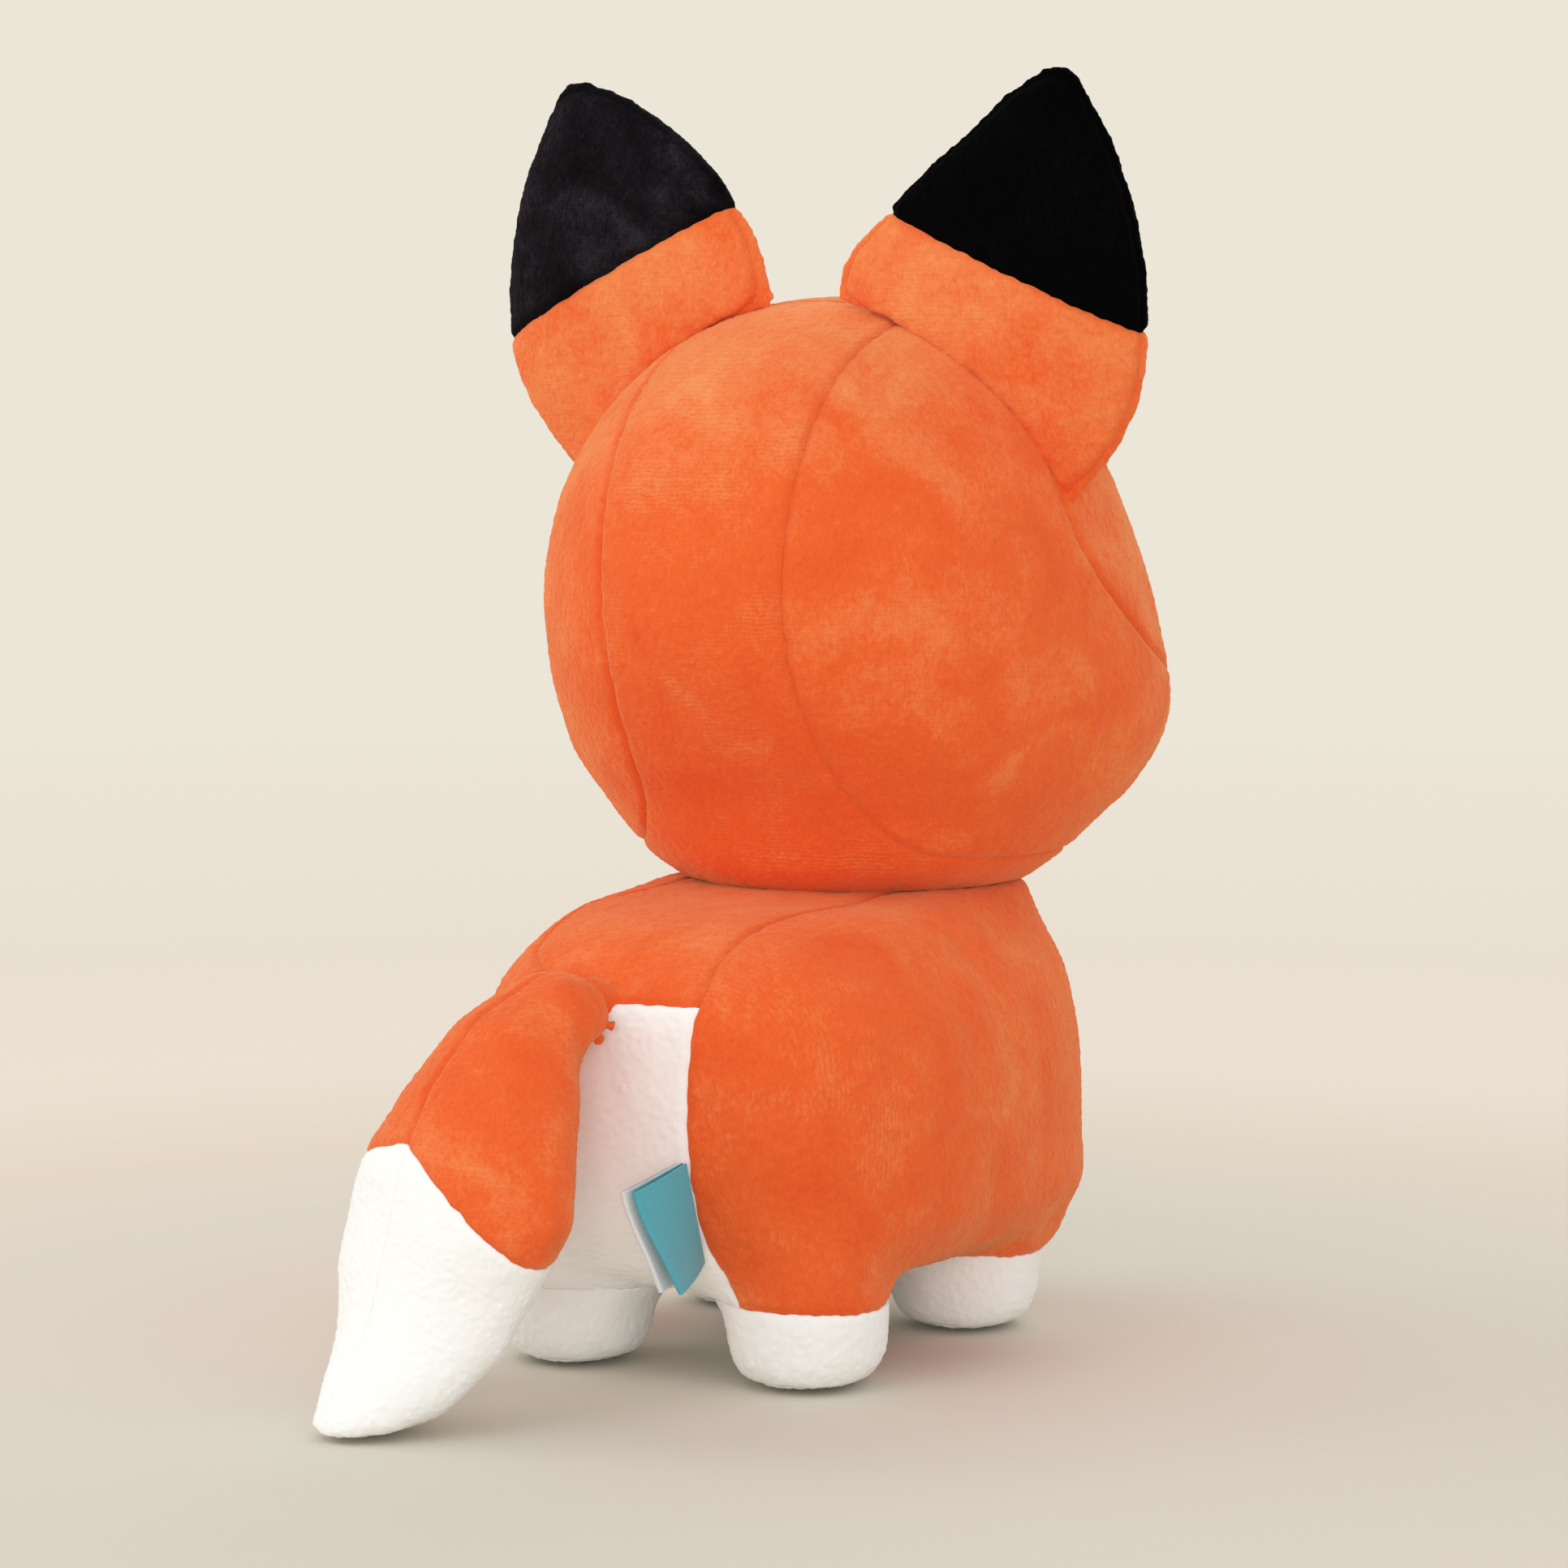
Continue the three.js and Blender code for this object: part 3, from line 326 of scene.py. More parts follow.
def ramp(value, start, end):
    """0 up to the start, 1 from the end on."""
    return np.clip((value - start) / (end - start), 0, 1)


def soft_ramp(value, middle, width):
    return 1 / (1 + np.exp((middle - value) / width))


def add_piece(name, mesh):
    piece = bpy.data.objects.new(name, mesh)
    bpy.context.scene.collection.objects.link(piece)
    return piece


def activate(piece):
    for other in bpy.context.selected_objects:
        other.select_set(False)
    piece.select_set(True)
    bpy.context.view_layer.objects.active = piece


def apply_all(piece):
    activate(piece)
    for modifier in list(piece.modifiers):
        if bpy.ops.object.modifier_apply(modifier=modifier.name) != {"FINISHED"}:
            raise RuntimeError(f"{piece.name}: {modifier.name} could not be applied")


def modify(piece, kind, **values):
    modifier = piece.modifiers.new(kind.lower(), kind)
    for key, value in values.items():
        setattr(modifier, key, value)
    return modifier


def gathered(name, nodes, clips=(), shaped=()):
    """One object of copies of CAD nodes. A clip is (node, plane height, keep above), shaped is (node, matrix)."""
    whole = bmesh.new()
    for node in nodes:
        whole.from_mesh(frame["nodes"][node].data)
    for node, shape in shaped:
        part = frame["nodes"][node].data.copy()
        part.transform(shape)
        whole.from_mesh(part)
        bpy.data.meshes.remove(part)
    for node, height, above in clips:
        part = bmesh.new()
        part.from_mesh(frame["nodes"][node].data)
        cut = bmesh.ops.bisect_plane(
            part, geom=part.verts[:] + part.edges[:] + part.faces[:], plane_co=(0, 0, height), plane_no=(0, 0, 1),
            clear_inner=above, clear_outer=not above)
        edges = [element for element in cut["geom_cut"] if isinstance(element, bmesh.types.BMEdge)]
        bmesh.ops.holes_fill(part, edges=edges)
        kept = bpy.data.meshes.new("clip")
        part.to_mesh(kept)
        part.free()
        whole.from_mesh(kept)
        bpy.data.meshes.remove(kept)
    mesh = bpy.data.meshes.new(name)
    whole.to_mesh(mesh)
    whole.free()
    return add_piece(name, mesh)


def keep_largest(piece):
    """Drops the small closed shells that remeshing leaves in gaps."""
    bm = bmesh.new()
    bm.from_mesh(piece.data)
    bm.verts.ensure_lookup_table()
    seen, groups = set(), []
    for vert in bm.verts:
        if vert.index in seen:
            continue
        seen.add(vert.index)
        group, stack = [], [vert]
        while stack:
            current = stack.pop()
            group.append(current)
            for edge in current.link_edges:
                other = edge.other_vert(current)
                if other.index not in seen:
                    seen.add(other.index)
                    stack.append(other)
        groups.append(group)
    groups.sort(key=len, reverse=True)
    bmesh.ops.delete(bm, geom=[vert for group in groups[1:] for vert in group], context="VERTS")
    bm.to_mesh(piece.data)
    bm.free()


def places(mesh):
    out = np.empty(len(mesh.vertices) * 3)
    mesh.vertices.foreach_get("co", out)
    return out.reshape(-1, 3)


def normals(mesh):
    out = np.empty(len(mesh.vertices) * 3)
    mesh.vertex_normals.foreach_get("vector", out)
    return out.reshape(-1, 3)


def set_places(mesh, points):
    mesh.vertices.foreach_set("co", np.asarray(points, float).ravel())
    mesh.update()


def set_drawn(piece, points):
    """Moves a piece's points to places of the drawing."""
    set_places(piece.data, (points - (0, SHIFT_Y, 0)) / MM)


def shade_smooth(mesh):
    mesh.polygons.foreach_set("use_smooth", [True] * len(mesh.polygons))


def smoothed(piece, iterations, **values):
    modify(piece, "SMOOTH", factor=0.5, iterations=iterations, **values)


def panel_of_faces(mesh, fields, panels):
    centres = np.empty(len(mesh.polygons) * 3)
    mesh.polygons.foreach_get("center", centres)
    points = drawn(centres.reshape(-1, 3))
    return panels({name: field(points) for name, field in fields.items()})


HELD_BESIDE = (0.6, 0.3)
CLOTH_QUALITY = 4


def seam_weights(mesh, ids):
    """1 on the seams' points, less beside them, 0 in the middle of the panels."""
    first = np.full(len(mesh.vertices), -1)
    weight = np.zeros(len(mesh.vertices))
    for polygon, panel in zip(mesh.polygons, ids):
        for vertex in polygon.vertices:
            if first[vertex] == -1:
                first[vertex] = panel
            elif first[vertex] != panel:
                weight[vertex] = 1
    edges = np.empty(len(mesh.edges) * 2, int)
    mesh.edges.foreach_get("vertices", edges)
    a, b = edges.reshape(-1, 2).T
    for share in HELD_BESIDE:
        grown = weight.copy()
        np.maximum.at(grown, a, weight[b] * share)
        np.maximum.at(grown, b, weight[a] * share)
        weight = grown
    return weight


def puff(piece, ids, settings):
    """Fills the form with air for a moment, held at its seams, and keeps a little of that shape."""
    mesh = piece.data
    start = places(mesh)
    set_places(mesh, start - normals(mesh) * settings.slack)
    group = piece.vertex_groups.new(name="held")
    for index, weight in enumerate(seam_weights(mesh, ids)):
        if weight > 0:
            group.add([index], float(weight), "REPLACE")
    cloth = modify(piece, "CLOTH")
    cloth.settings.quality = CLOTH_QUALITY
    cloth.settings.use_pressure = True
    cloth.settings.uniform_pressure_force = settings.pressure
    cloth.settings.vertex_group_mass = "held"
    cloth.settings.effector_weights.gravity = 0
    cloth.collision_settings.use_collision = False
    cloth.point_cache.frame_start = 1
    cloth.point_cache.frame_end = settings.frames
    scene = bpy.context.scene
    for step in range(1, settings.frames + 1):
        scene.frame_set(step)
    apply_all(piece)
    scene.frame_set(1)
    piece.vertex_groups.clear()
    move = places(mesh) - start
    size = np.linalg.norm(move, axis=1, keepdims=True)
    set_places(mesh, start + move * np.minimum(1, settings.reach / np.maximum(size, 1e-9)))


FIT_ROWS, FIT_OVERLAP = 40, 1.2


def fitted(points, way, up, table):
    """Moves both sides of a flat form along its width. A row is (height, low side's move, high side's move) in mm."""
    across, height = points @ way, points @ up
    marks = np.linspace(height.min(), height.max(), FIT_ROWS)
    reach = (marks[1] - marks[0]) * FIT_OVERLAP
    low, high = np.array([(across[near].min(), across[near].max())
                          for near in (np.abs(height - mark) < reach for mark in marks)]).T
    low, high = np.interp(height, marks, low), np.interp(height, marks, high)
    share = np.clip((across - low) / np.maximum(high - low, 1e-6), 0, 1)
    heights, first, last = np.array(table, float).T
    order = np.argsort(heights)
    move = (np.interp(height, heights[order], first[order]) * (1 - share)
            + np.interp(height, heights[order], last[order]) * share)
    return points + np.outer(move, way)


def swell(piece, size):
    """Grows a form outwards by a size in metres."""
    set_places(piece.data, places(piece.data) + normals(piece.data) * size)


ADJUSTED_EASE, PUFFED_EASE = 3, 2


def padded_form(name, nodes, fields, panels, settings, voxel, ease, adjust, clips=(), shaped=()):
    """One closed form of several nodes, smoothed, given the picture's curves and filled with air."""
    piece = gathered(name, nodes, clips, shaped)
    modify(piece, "REMESH", mode="VOXEL", voxel_size=voxel)
    smoothed(piece, ease)
    apply_all(piece)
    keep_largest(piece)
    adjust(piece)
    smoothed(piece, ADJUSTED_EASE)
    apply_all(piece)
    puff(piece, panel_of_faces(piece.data, fields, panels), settings)
    smoothed(piece, PUFFED_EASE)
    modify(piece, "SUBSURF", levels=1, render_levels=1)
    apply_all(piece)
    return piece


RAGGED_HEIGHT, CUT_SNAP = 0.09, 0.00012
# how the three waves run along x, y and z, in radians a millimetre, and where they start
RAGGED_WAVES = ((0.9, 0, 0.6, 0), (0, 0.7, -1.1, 1), (1.4, 1.4, 0.3, 2))


def ragged(points):
    """Small waves, in millimetres, that the pile gives to a seam's line."""
    return RAGGED_HEIGHT * sum(np.sin(points @ wave[:3] + wave[3]) for wave in RAGGED_WAVES)


def split(bm, field, home):
    """Cuts the faces along the line where the field is zero."""
    points = np.array([vert.co[:] for vert in bm.verts])
    value = (field(drawn(points)) + ragged(drawn(points))) / MM
    for vert, number in zip(bm.verts, value):
        vert[home] = vert.co
        vert.co.x = number
    bmesh.ops.bisect_plane(
        bm, geom=bm.verts[:] + bm.edges[:] + bm.faces[:], dist=CUT_SNAP, plane_co=(0, 0, 0), plane_no=(1, 0, 0))
    for vert in bm.verts:
        vert.co = vert[home]


def cut_out(form, fields, panels, names):
    """{panel name: (points, ways out, faces)} of a padded form."""
    bm = bmesh.new()
    bm.from_mesh(form.data)
    home = bm.verts.layers.float_vector.new("home")
    way = bm.verts.layers.float_vector.new("way")
    for vert in bm.verts:
        vert[way] = vert.normal
    for field in fields.values():
        split(bm, field, home)
    bm.verts.index_update()
    points = np.array([vert.co[:] for vert in bm.verts])
    ways = np.array([vert[way][:] for vert in bm.verts])
    ways /= np.maximum(np.linalg.norm(ways, axis=1, keepdims=True), 1e-9)
    faces = [[vert.index for vert in face.verts] for face in bm.faces]
    centres = drawn([face.calc_center_median()[:] for face in bm.faces])
    bm.free()
    ids = panels({name: field(centres) + ragged(centres) for name, field in fields.items()})
    out = {}
    for number, name in enumerate(names):
        mine = [face for face, panel in zip(faces, ids) if panel == number]
        if not mine:
            raise RuntimeError(f"{name}: the panel has no faces")
        used = sorted({index for face in mine for index in face})
        new = {old: index for index, old in enumerate(used)}
        out[name] = (points[used], ways[used], [[new[index] for index in face] for face in mine])
    return out


SHALLOW_SEAMS, SHALLOW_SHARE = ("tail_tip", "paw"), 0.35
# how far the seam's shade and its worn pile reach, as shares of the seam's width, and how much pile is worn
SHADE_REACH, WORN_REACH, WORN_PILE = 1.7, 0.9, 0.9
BORDER_STEPS = 3
UV_ANGLE, UV_MARGIN = 1.15, 0.004


def sewn_panel(name, points, ways, faces, material, settings):
    """A panel with its own thickness, its edges drawn into the seams, and its pile."""
    depth = settings.seam_depth * (SHALLOW_SHARE if any(part in name for part in SHALLOW_SEAMS) else 1)
    count = len(points)
    directed = {(face[i], face[(i + 1) % len(face)]) for face in faces for i in range(len(face))}
    edge = [(a, b) for a, b in directed if (b, a) not in directed]
    mesh = bpy.data.meshes.new(name)
    mesh.from_pydata(
        np.concatenate([points, points - ways * settings.cloth]).tolist(), [],
        faces + [[index + count for index in reversed(face)] for face in faces]
        + [[b, a, a + count, b + count] for a, b in edge])
    mesh.uv_layers.new(name="OFBake")
    mesh.materials.append(material)
    piece = add_piece(name, mesh)
    activate(piece)
    bpy.ops.object.mode_set(mode="EDIT")
    bpy.ops.mesh.select_all(action="SELECT")
    bpy.ops.uv.smart_project(angle_limit=UV_ANGLE, island_margin=UV_MARGIN, scale_to_bounds=True)
    bpy.ops.object.mode_set(mode="OBJECT")

    bm = bmesh.new()
    bm.from_mesh(mesh)
    outside = bm.verts.layers.float.new("outside")
    way = bm.verts.layers.float_vector.new("way")
    bm.verts.ensure_lookup_table()
    bm.faces.ensure_lookup_table()
    for index in range(count):
        bm.verts[index][outside] = 1
        bm.verts[index][way] = ways[index]
    shown = {edge for face in bm.faces[:len(faces)] for edge in face.edges}
    bmesh.ops.subdivide_edges(bm, edges=list(shown), cuts=1, use_grid_fill=True)
    bm.verts.index_update()
    outer = [vert for vert in bm.verts if vert[outside] > 0.99]
    border = [e for e in bm.edges if e.verts[0][outside] > 0.99 and e.verts[1][outside] > 0.99
              and any(vert[outside] < 0.5 for face in e.link_faces for vert in face.verts)]
    tree = KDTree(len(border) * BORDER_STEPS)
    for index, e in enumerate(border):
        for step in range(BORDER_STEPS):
            tree.insert(e.verts[0].co.lerp(e.verts[1].co, step / BORDER_STEPS), index * BORDER_STEPS + step)
    tree.balance()
    # Painted shade along the seams: 1 at a seam's edge and less away from it; the material darkens the colour by it.
    seam = np.zeros(len(bm.verts))
    pile = np.zeros(len(bm.verts))
    for vert in outer:
        gap = tree.find(vert.co)[2]
        seam[vert.index] = bell(gap, settings.seam_width * SHADE_REACH)
        pile[vert.index] = round(1 - WORN_PILE * bell(gap, settings.seam_width * WORN_REACH), 1)
        vert.co -= vert[way] * depth * bell(gap, settings.seam_width)
    bm.to_mesh(mesh)
    bm.free()
    for attribute in ("outside", "way"):
        mesh.attributes.remove(mesh.attributes[attribute])
    # The painted seam shade goes to the material as the point attribute named seam.
    mesh.attributes.new("seam", "FLOAT", "POINT").data.foreach_set("value", seam)
    group = piece.vertex_groups.new(name="pile")
    for weight in np.unique(pile[pile > 0]):
        group.add(np.nonzero(pile == weight)[0].tolist(), float(weight), "REPLACE")
    for kind, size, height, octaves in (("tufts", settings.tuft_size, settings.pile, 1),
                                        ("lumps", settings.lump_size, settings.lumps, 2)):
        modify(piece, "DISPLACE", texture=noise_texture(kind, size, octaves), strength=height, mid_level=0.5,
               vertex_group="pile", texture_coords="LOCAL")
    apply_all(piece)
    piece.vertex_groups.clear()
    shade_smooth(mesh)
    return piece


def noise_texture(name, size, depth):
    texture = bpy.data.textures.get(name) or bpy.data.textures.new(name, "CLOUDS")
    texture.noise_scale = size
    texture.noise_depth = depth
    texture.noise_basis = "ORIGINAL_PERLIN"
    return texture


# ---------------------------------------------------------------- materials

def feed(tree, made, inputs):
    """Links each socket that is given a source, and sets each that is given a value."""
    for socket, value in inputs.items():
        if isinstance(value, bpy.types.NodeSocket):
            tree.links.new(value, made.inputs[socket])
        else:
            made.inputs[socket].default_value = value


def node(tree, kind, inputs, **settings):
    made = tree.nodes.new(f"ShaderNode{kind}")
    for key, value in settings.items():
        setattr(made, key, value)
    feed(tree, made, inputs)
    return made


def calc(tree, operation, *inputs, clamp=False):
    return node(tree, "Math", dict(enumerate(inputs)), operation=operation, use_clamp=clamp).outputs[0]


def noise(tree, place, scale, detail, roughness=0.5, distortion=0.0):
    return node(tree, "TexNoise", {"Vector": place, "Scale": scale, "Detail": detail, "Roughness": roughness,
                                   "Distortion": distortion}).outputs["Fac"]


def bands(tree, place, way, scale, distortion, detail, detail_scale=1.0, detail_roughness=0.5):
    return node(tree, "TexWave", {"Vector": place, "Scale": scale, "Distortion": distortion, "Detail": detail,
                                  "Detail Scale": detail_scale, "Detail Roughness": detail_roughness},
                wave_type="BANDS", bands_direction=way).outputs["Fac"]


def ranged(tree, value, low, high, to_low=0.0, to_high=1.0, interpolation="LINEAR"):
    """Maps the range low to high onto to_low to to_high, held at both ends."""
    return node(tree, "MapRange", {0: value, 1: low, 2: high, 3: to_low, 4: to_high},
                interpolation_type=interpolation).outputs[0]


def between(tree, factor, first, second):
    """A colour between two colours."""
    return node(tree, "Mix", {"Factor": factor, 6: first, 7: second}, data_type="RGBA").outputs[2]


def bumped(tree, height, strength, distance):
    return node(tree, "Bump", {"Height": height, "Strength": strength, "Distance": distance}).outputs["Normal"]


def object_place(tree):
    return node(tree, "TexCoord", {}).outputs["Object"]


def surface(name, dress):
    """The material of that name. When it is new, dress gives its shader's inputs."""
    material = bpy.data.materials.get(name)
    if material is None:
        material = bpy.data.materials.new(name)
        material.use_nodes = True
        tree = material.node_tree
        feed(tree, tree.nodes["Principled BSDF"], dress(tree))
    return material


# scale, detail, roughness and distortion of the pile's patches, of its brushed marks and of its fibres
PATCHES, BRUSHED, FIBRES = (42, 2, 0.5, 0.9), (230, 3, 0.6, 1.2), (1500, 2, 0.6, 0.4)
FIBRE_LEAN, FIBRE_STRETCH = (0.4, 0.25, 0.3), (1, 1, 0.45)
# scale, distortion and detail of the knitted rows, the detail's scale and roughness, and the patches that show them
KNIT, WORN_PATCHES = (330, 7, 3, 0.9, 0.65), (0.42, 0.62)
BRUSHED_SHARE, FIBRE_TONE, RIB_TONE = 0.3, 0.34, -0.09
# heights over which painted light from above makes the pile paler, in metres, and tones that run from dark to plain
# and from plain to light
TOP_LIGHT_HEIGHTS, DARK_TONES, LIGHT_TONES = (0.165, 0.225), (0.42, 0.68), (0.68, 1.04)
BRUSHED_RELIEF, RIB_RELIEF, NAP_DEPTH = 0.8, -0.35, 0.0006
PILE_ROUGHNESS, SHEEN_ROUGHNESS = 0.92, 0.45
# The nap's inputs include how much painted light from above pales the pile higher up, and how much painted shade
# darkens it along the seams.
NAP_SOCKETS = {
    "INPUT": {"Light": "Color", "Plain": "Color", "Dark": "Color", "Rows": "Float", "Upright": "Float",
              "Seam": "Float", "Top": "Float"},
    "OUTPUT": {"Color": "Color", "Height": "Float"},
}


def nap_group():
    """Brushed pile: light and dark patches, fine fibres, and knitted rows that show through, with painted light from
    above and painted shade along the seams.
    """
    found = bpy.data.node_groups.get("nap")
    if found:
        return found
    tree = bpy.data.node_groups.new("nap", "ShaderNodeTree")
    for side, sockets in NAP_SOCKETS.items():
        for label, kind in sockets.items():
            tree.interface.new_socket(label, in_out=side, socket_type=f"NodeSocket{kind}")
    given = tree.nodes.new("NodeGroupInput").outputs
    place = object_place(tree)
    patches, brushed = noise(tree, place, *PATCHES), noise(tree, place, *BRUSHED)
    flow = node(tree, "Mapping", {"Vector": place, "Rotation": FIBRE_LEAN, "Scale": FIBRE_STRETCH})
    fibres = noise(tree, flow.outputs[0], *FIBRES)
    rows = node(tree, "Mix", {"Factor": given["Upright"], "A": bands(tree, place, "Z", *KNIT),
                              "B": bands(tree, place, "Y", *KNIT)}).outputs[0]
    shown = calc(tree, "MULTIPLY", ranged(tree, patches, *WORN_PATCHES), given["Rows"])
    ribs = calc(tree, "MULTIPLY", rows, shown)
    tone = node(tree, "Mix", {"Factor": BRUSHED_SHARE, "A": patches, "B": brushed}).outputs[0]
    tone = calc(tree, "MULTIPLY_ADD", fibres, FIBRE_TONE, tone)
    tone = calc(tree, "MULTIPLY_ADD", ribs, RIB_TONE, tone)
    # Painted light from above: the pile's tone is raised higher up, from the first height to the second.
    height = node(tree, "SeparateXYZ", {0: place}).outputs["Z"]
    painted_top_light = ranged(tree, height, *TOP_LIGHT_HEIGHTS, interpolation="SMOOTHSTEP")
    tone = calc(tree, "MULTIPLY_ADD", painted_top_light, given["Top"], tone)
    color = between(tree, ranged(tree, tone, *DARK_TONES), given["Dark"], given["Plain"])
    color = between(tree, ranged(tree, tone, *LIGHT_TONES), color, given["Light"])
    # Painted shade along the seams: the colour is drawn towards the dark tone where the seam attribute is high.
    seam = node(tree, "Attribute", {}, attribute_name="seam").outputs["Fac"]
    color = between(tree, calc(tree, "MULTIPLY", seam, given["Seam"]), color, given["Dark"])
    relief = calc(tree, "MULTIPLY_ADD", brushed, BRUSHED_RELIEF, fibres)
    relief = calc(tree, "MULTIPLY_ADD", ribs, RIB_RELIEF, relief)
    feed(tree, tree.nodes.new("NodeGroupOutput"), {"Color": color, "Height": relief})
    return tree


# seam: how strongly painted shade darkens the colour along the seams; the top setting: how much painted light from
# above pales the pile higher up.
def plush(name, light, plain, dark, rows=0.5, upright=0.0, sheen=0.25, tint=(1, 1, 1), shine=0.15, relief=0.5,
          seam=0.35, top_light=0.0):
    def dress(tree):
        nap = node(tree, "Group", {"Light": (*light, 1), "Plain": (*plain, 1), "Dark": (*dark, 1), "Rows": rows,
                                   "Upright": upright, "Seam": seam, "Top": top_light}, node_tree=nap_group())
        return {"Base Color": nap.outputs["Color"],
                "Normal": bumped(tree, nap.outputs["Height"], relief, NAP_DEPTH),
                "Roughness": PILE_ROUGHNESS, "Specular IOR Level": shine, "Sheen Weight": sheen,
                "Sheen Roughness": SHEEN_ROUGHNESS, "Sheen Tint": (*tint, 1)}
    return surface(name, dress)


def orange(rows=0.5, upright=0.0):
    return plush(f"orange_plush_{int(rows * 10)}_{int(upright)}", (0.90, 0.295, 0.098), (0.86, 0.13, 0.027),
                 (0.80, 0.093, 0.017), rows, upright, sheen=0.38, tint=(1.0, 0.8, 0.38), top_light=0.2)


def white():
    return plush("white_plush", (0.92, 0.92, 0.92), (0.875, 0.875, 0.87), (0.80, 0.79, 0.77), rows=0.1, sheen=0.12,
                 tint=(1, 0.99, 0.98), relief=0.32, seam=0.0)


def black(painted_blue_light=0.0):
    """Black pile, with painted light as a paler blue cast for the ear tip that catches the light."""
    return plush(f"black_plush_{int(painted_blue_light * 10)}", (0.004 + 0.04 * painted_blue_light, 0.0035 + 0.034 * painted_blue_light, 0.004 + 0.042 * painted_blue_light),
                 (0.0012 + 0.008 * painted_blue_light, 0.001 + 0.006 * painted_blue_light, 0.0012 + 0.008 * painted_blue_light), (0.0008, 0.0008, 0.001),
                 rows=0.3, sheen=0.004 + 0.02 * painted_blue_light, tint=(0.9, 0.85, 1.0), shine=0.03)


# Darker orange as painted shade, for the ring that fills the crease round the neck.
def orange_thread():
    return plush("orange_thread", (0.5, 0.06, 0.015), (0.42, 0.045, 0.01), (0.3, 0.03, 0.006), rows=0.4, sheen=0.1,
                 tint=(1, 0.6, 0.3))


def gloss():
    """Black moulded plastic, polished, with faint handling marks."""
    def dress(tree):
        marks = noise(tree, object_place(tree), 900, 4)
        return {"Base Color": between(tree, marks, (0.003, 0.003, 0.0035, 1), (0.006, 0.006, 0.007, 1)),
                "Roughness": ranged(tree, marks, 0, 1, 0.05, 0.12), "Coat Weight": 0.1}
    return surface("gloss_plastic", dress)


def moulded():
    """Milky moulded plastic with a fine grain."""
    def dress(tree):
        grain = noise(tree, object_place(tree), 1600, 3)
        return {"Base Color": between(tree, grain, (0.78, 0.78, 0.75, 1), (0.86, 0.86, 0.83, 1)),
                "Normal": bumped(tree, grain, 0.2, 0.0001), "Roughness": 0.42}
    return surface("washer_plastic", dress)


# light and dark of each ribbon, and scale, distortion and detail of its twill and its threads
SATIN = {"teal": ((0.085, 0.47, 0.56, 1), (0.045, 0.335, 0.42, 1)),
         "pale": ((0.86, 0.86, 0.85, 1), (0.70, 0.70, 0.69, 1))}
TWILL, THREADS = (9.0, 0.6, 1), (17.0, 0.3, 1)
SLUB_SCALE, SLUB_DETAIL, SLUB_TONE = 6, 3, 0.6


def satin(tone):
    """Woven ribbon: fine diagonal twill, crossed by its threads and uneven in tone."""
    def dress(tree):
        light, dark = SATIN[tone]
        place = node(tree, "UVMap", {}, uv_map="weave").outputs[0]
        weave = calc(tree, "MULTIPLY", bands(tree, place, "DIAGONAL", *TWILL), bands(tree, place, "Y", *THREADS))
        mottled = calc(tree, "MULTIPLY_ADD", noise(tree, place, SLUB_SCALE, SLUB_DETAIL), SLUB_TONE, weave)
        return {"Base Color": between(tree, mottled, dark, light), "Normal": bumped(tree, weave, 0.4, 0.00012),
                "Roughness": ranged(tree, weave, 0, 1, 0.42, 0.6), "Sheen Weight": 0.15}
    return surface(f"satin_{tone}", dress)


WHITE_PANELS = ("face_muzzle", "face_cheek_left", "face_cheek_right", "chest_panel", "belly_panel")
# how far the knitted rows show in an orange panel, and 1 where they stand upright
PANEL_ROWS = {"face_forehead": (0.3,), "head_side_left": (0.3,), "head_side_right": (0.3,), "head_gusset": (1.0,),
              "back_panel": (0.5,), "flank_left": (0.8, 1.0), "flank_right": (0.8, 1.0)}
OTHER_ROWS = (0.4,)


def look(name):
    """(material, slot) of a panel."""
    if name in WHITE_PANELS or name.startswith(("paw_", "sole_", "tail_tip")) or name.endswith("lining"):
        return white(), "white_plush"
    # An ear's tip is black; the left ear's gets the painted blue light, the right ear's stays plain black.
    if name.endswith("_tip"):
        return black(1.0 if "left" in name else 0.0), "black_plush"
    return orange(*PANEL_ROWS.get(name, OTHER_ROWS)), "orange_plush"


# ---------------------------------------------------------------- settings and operators

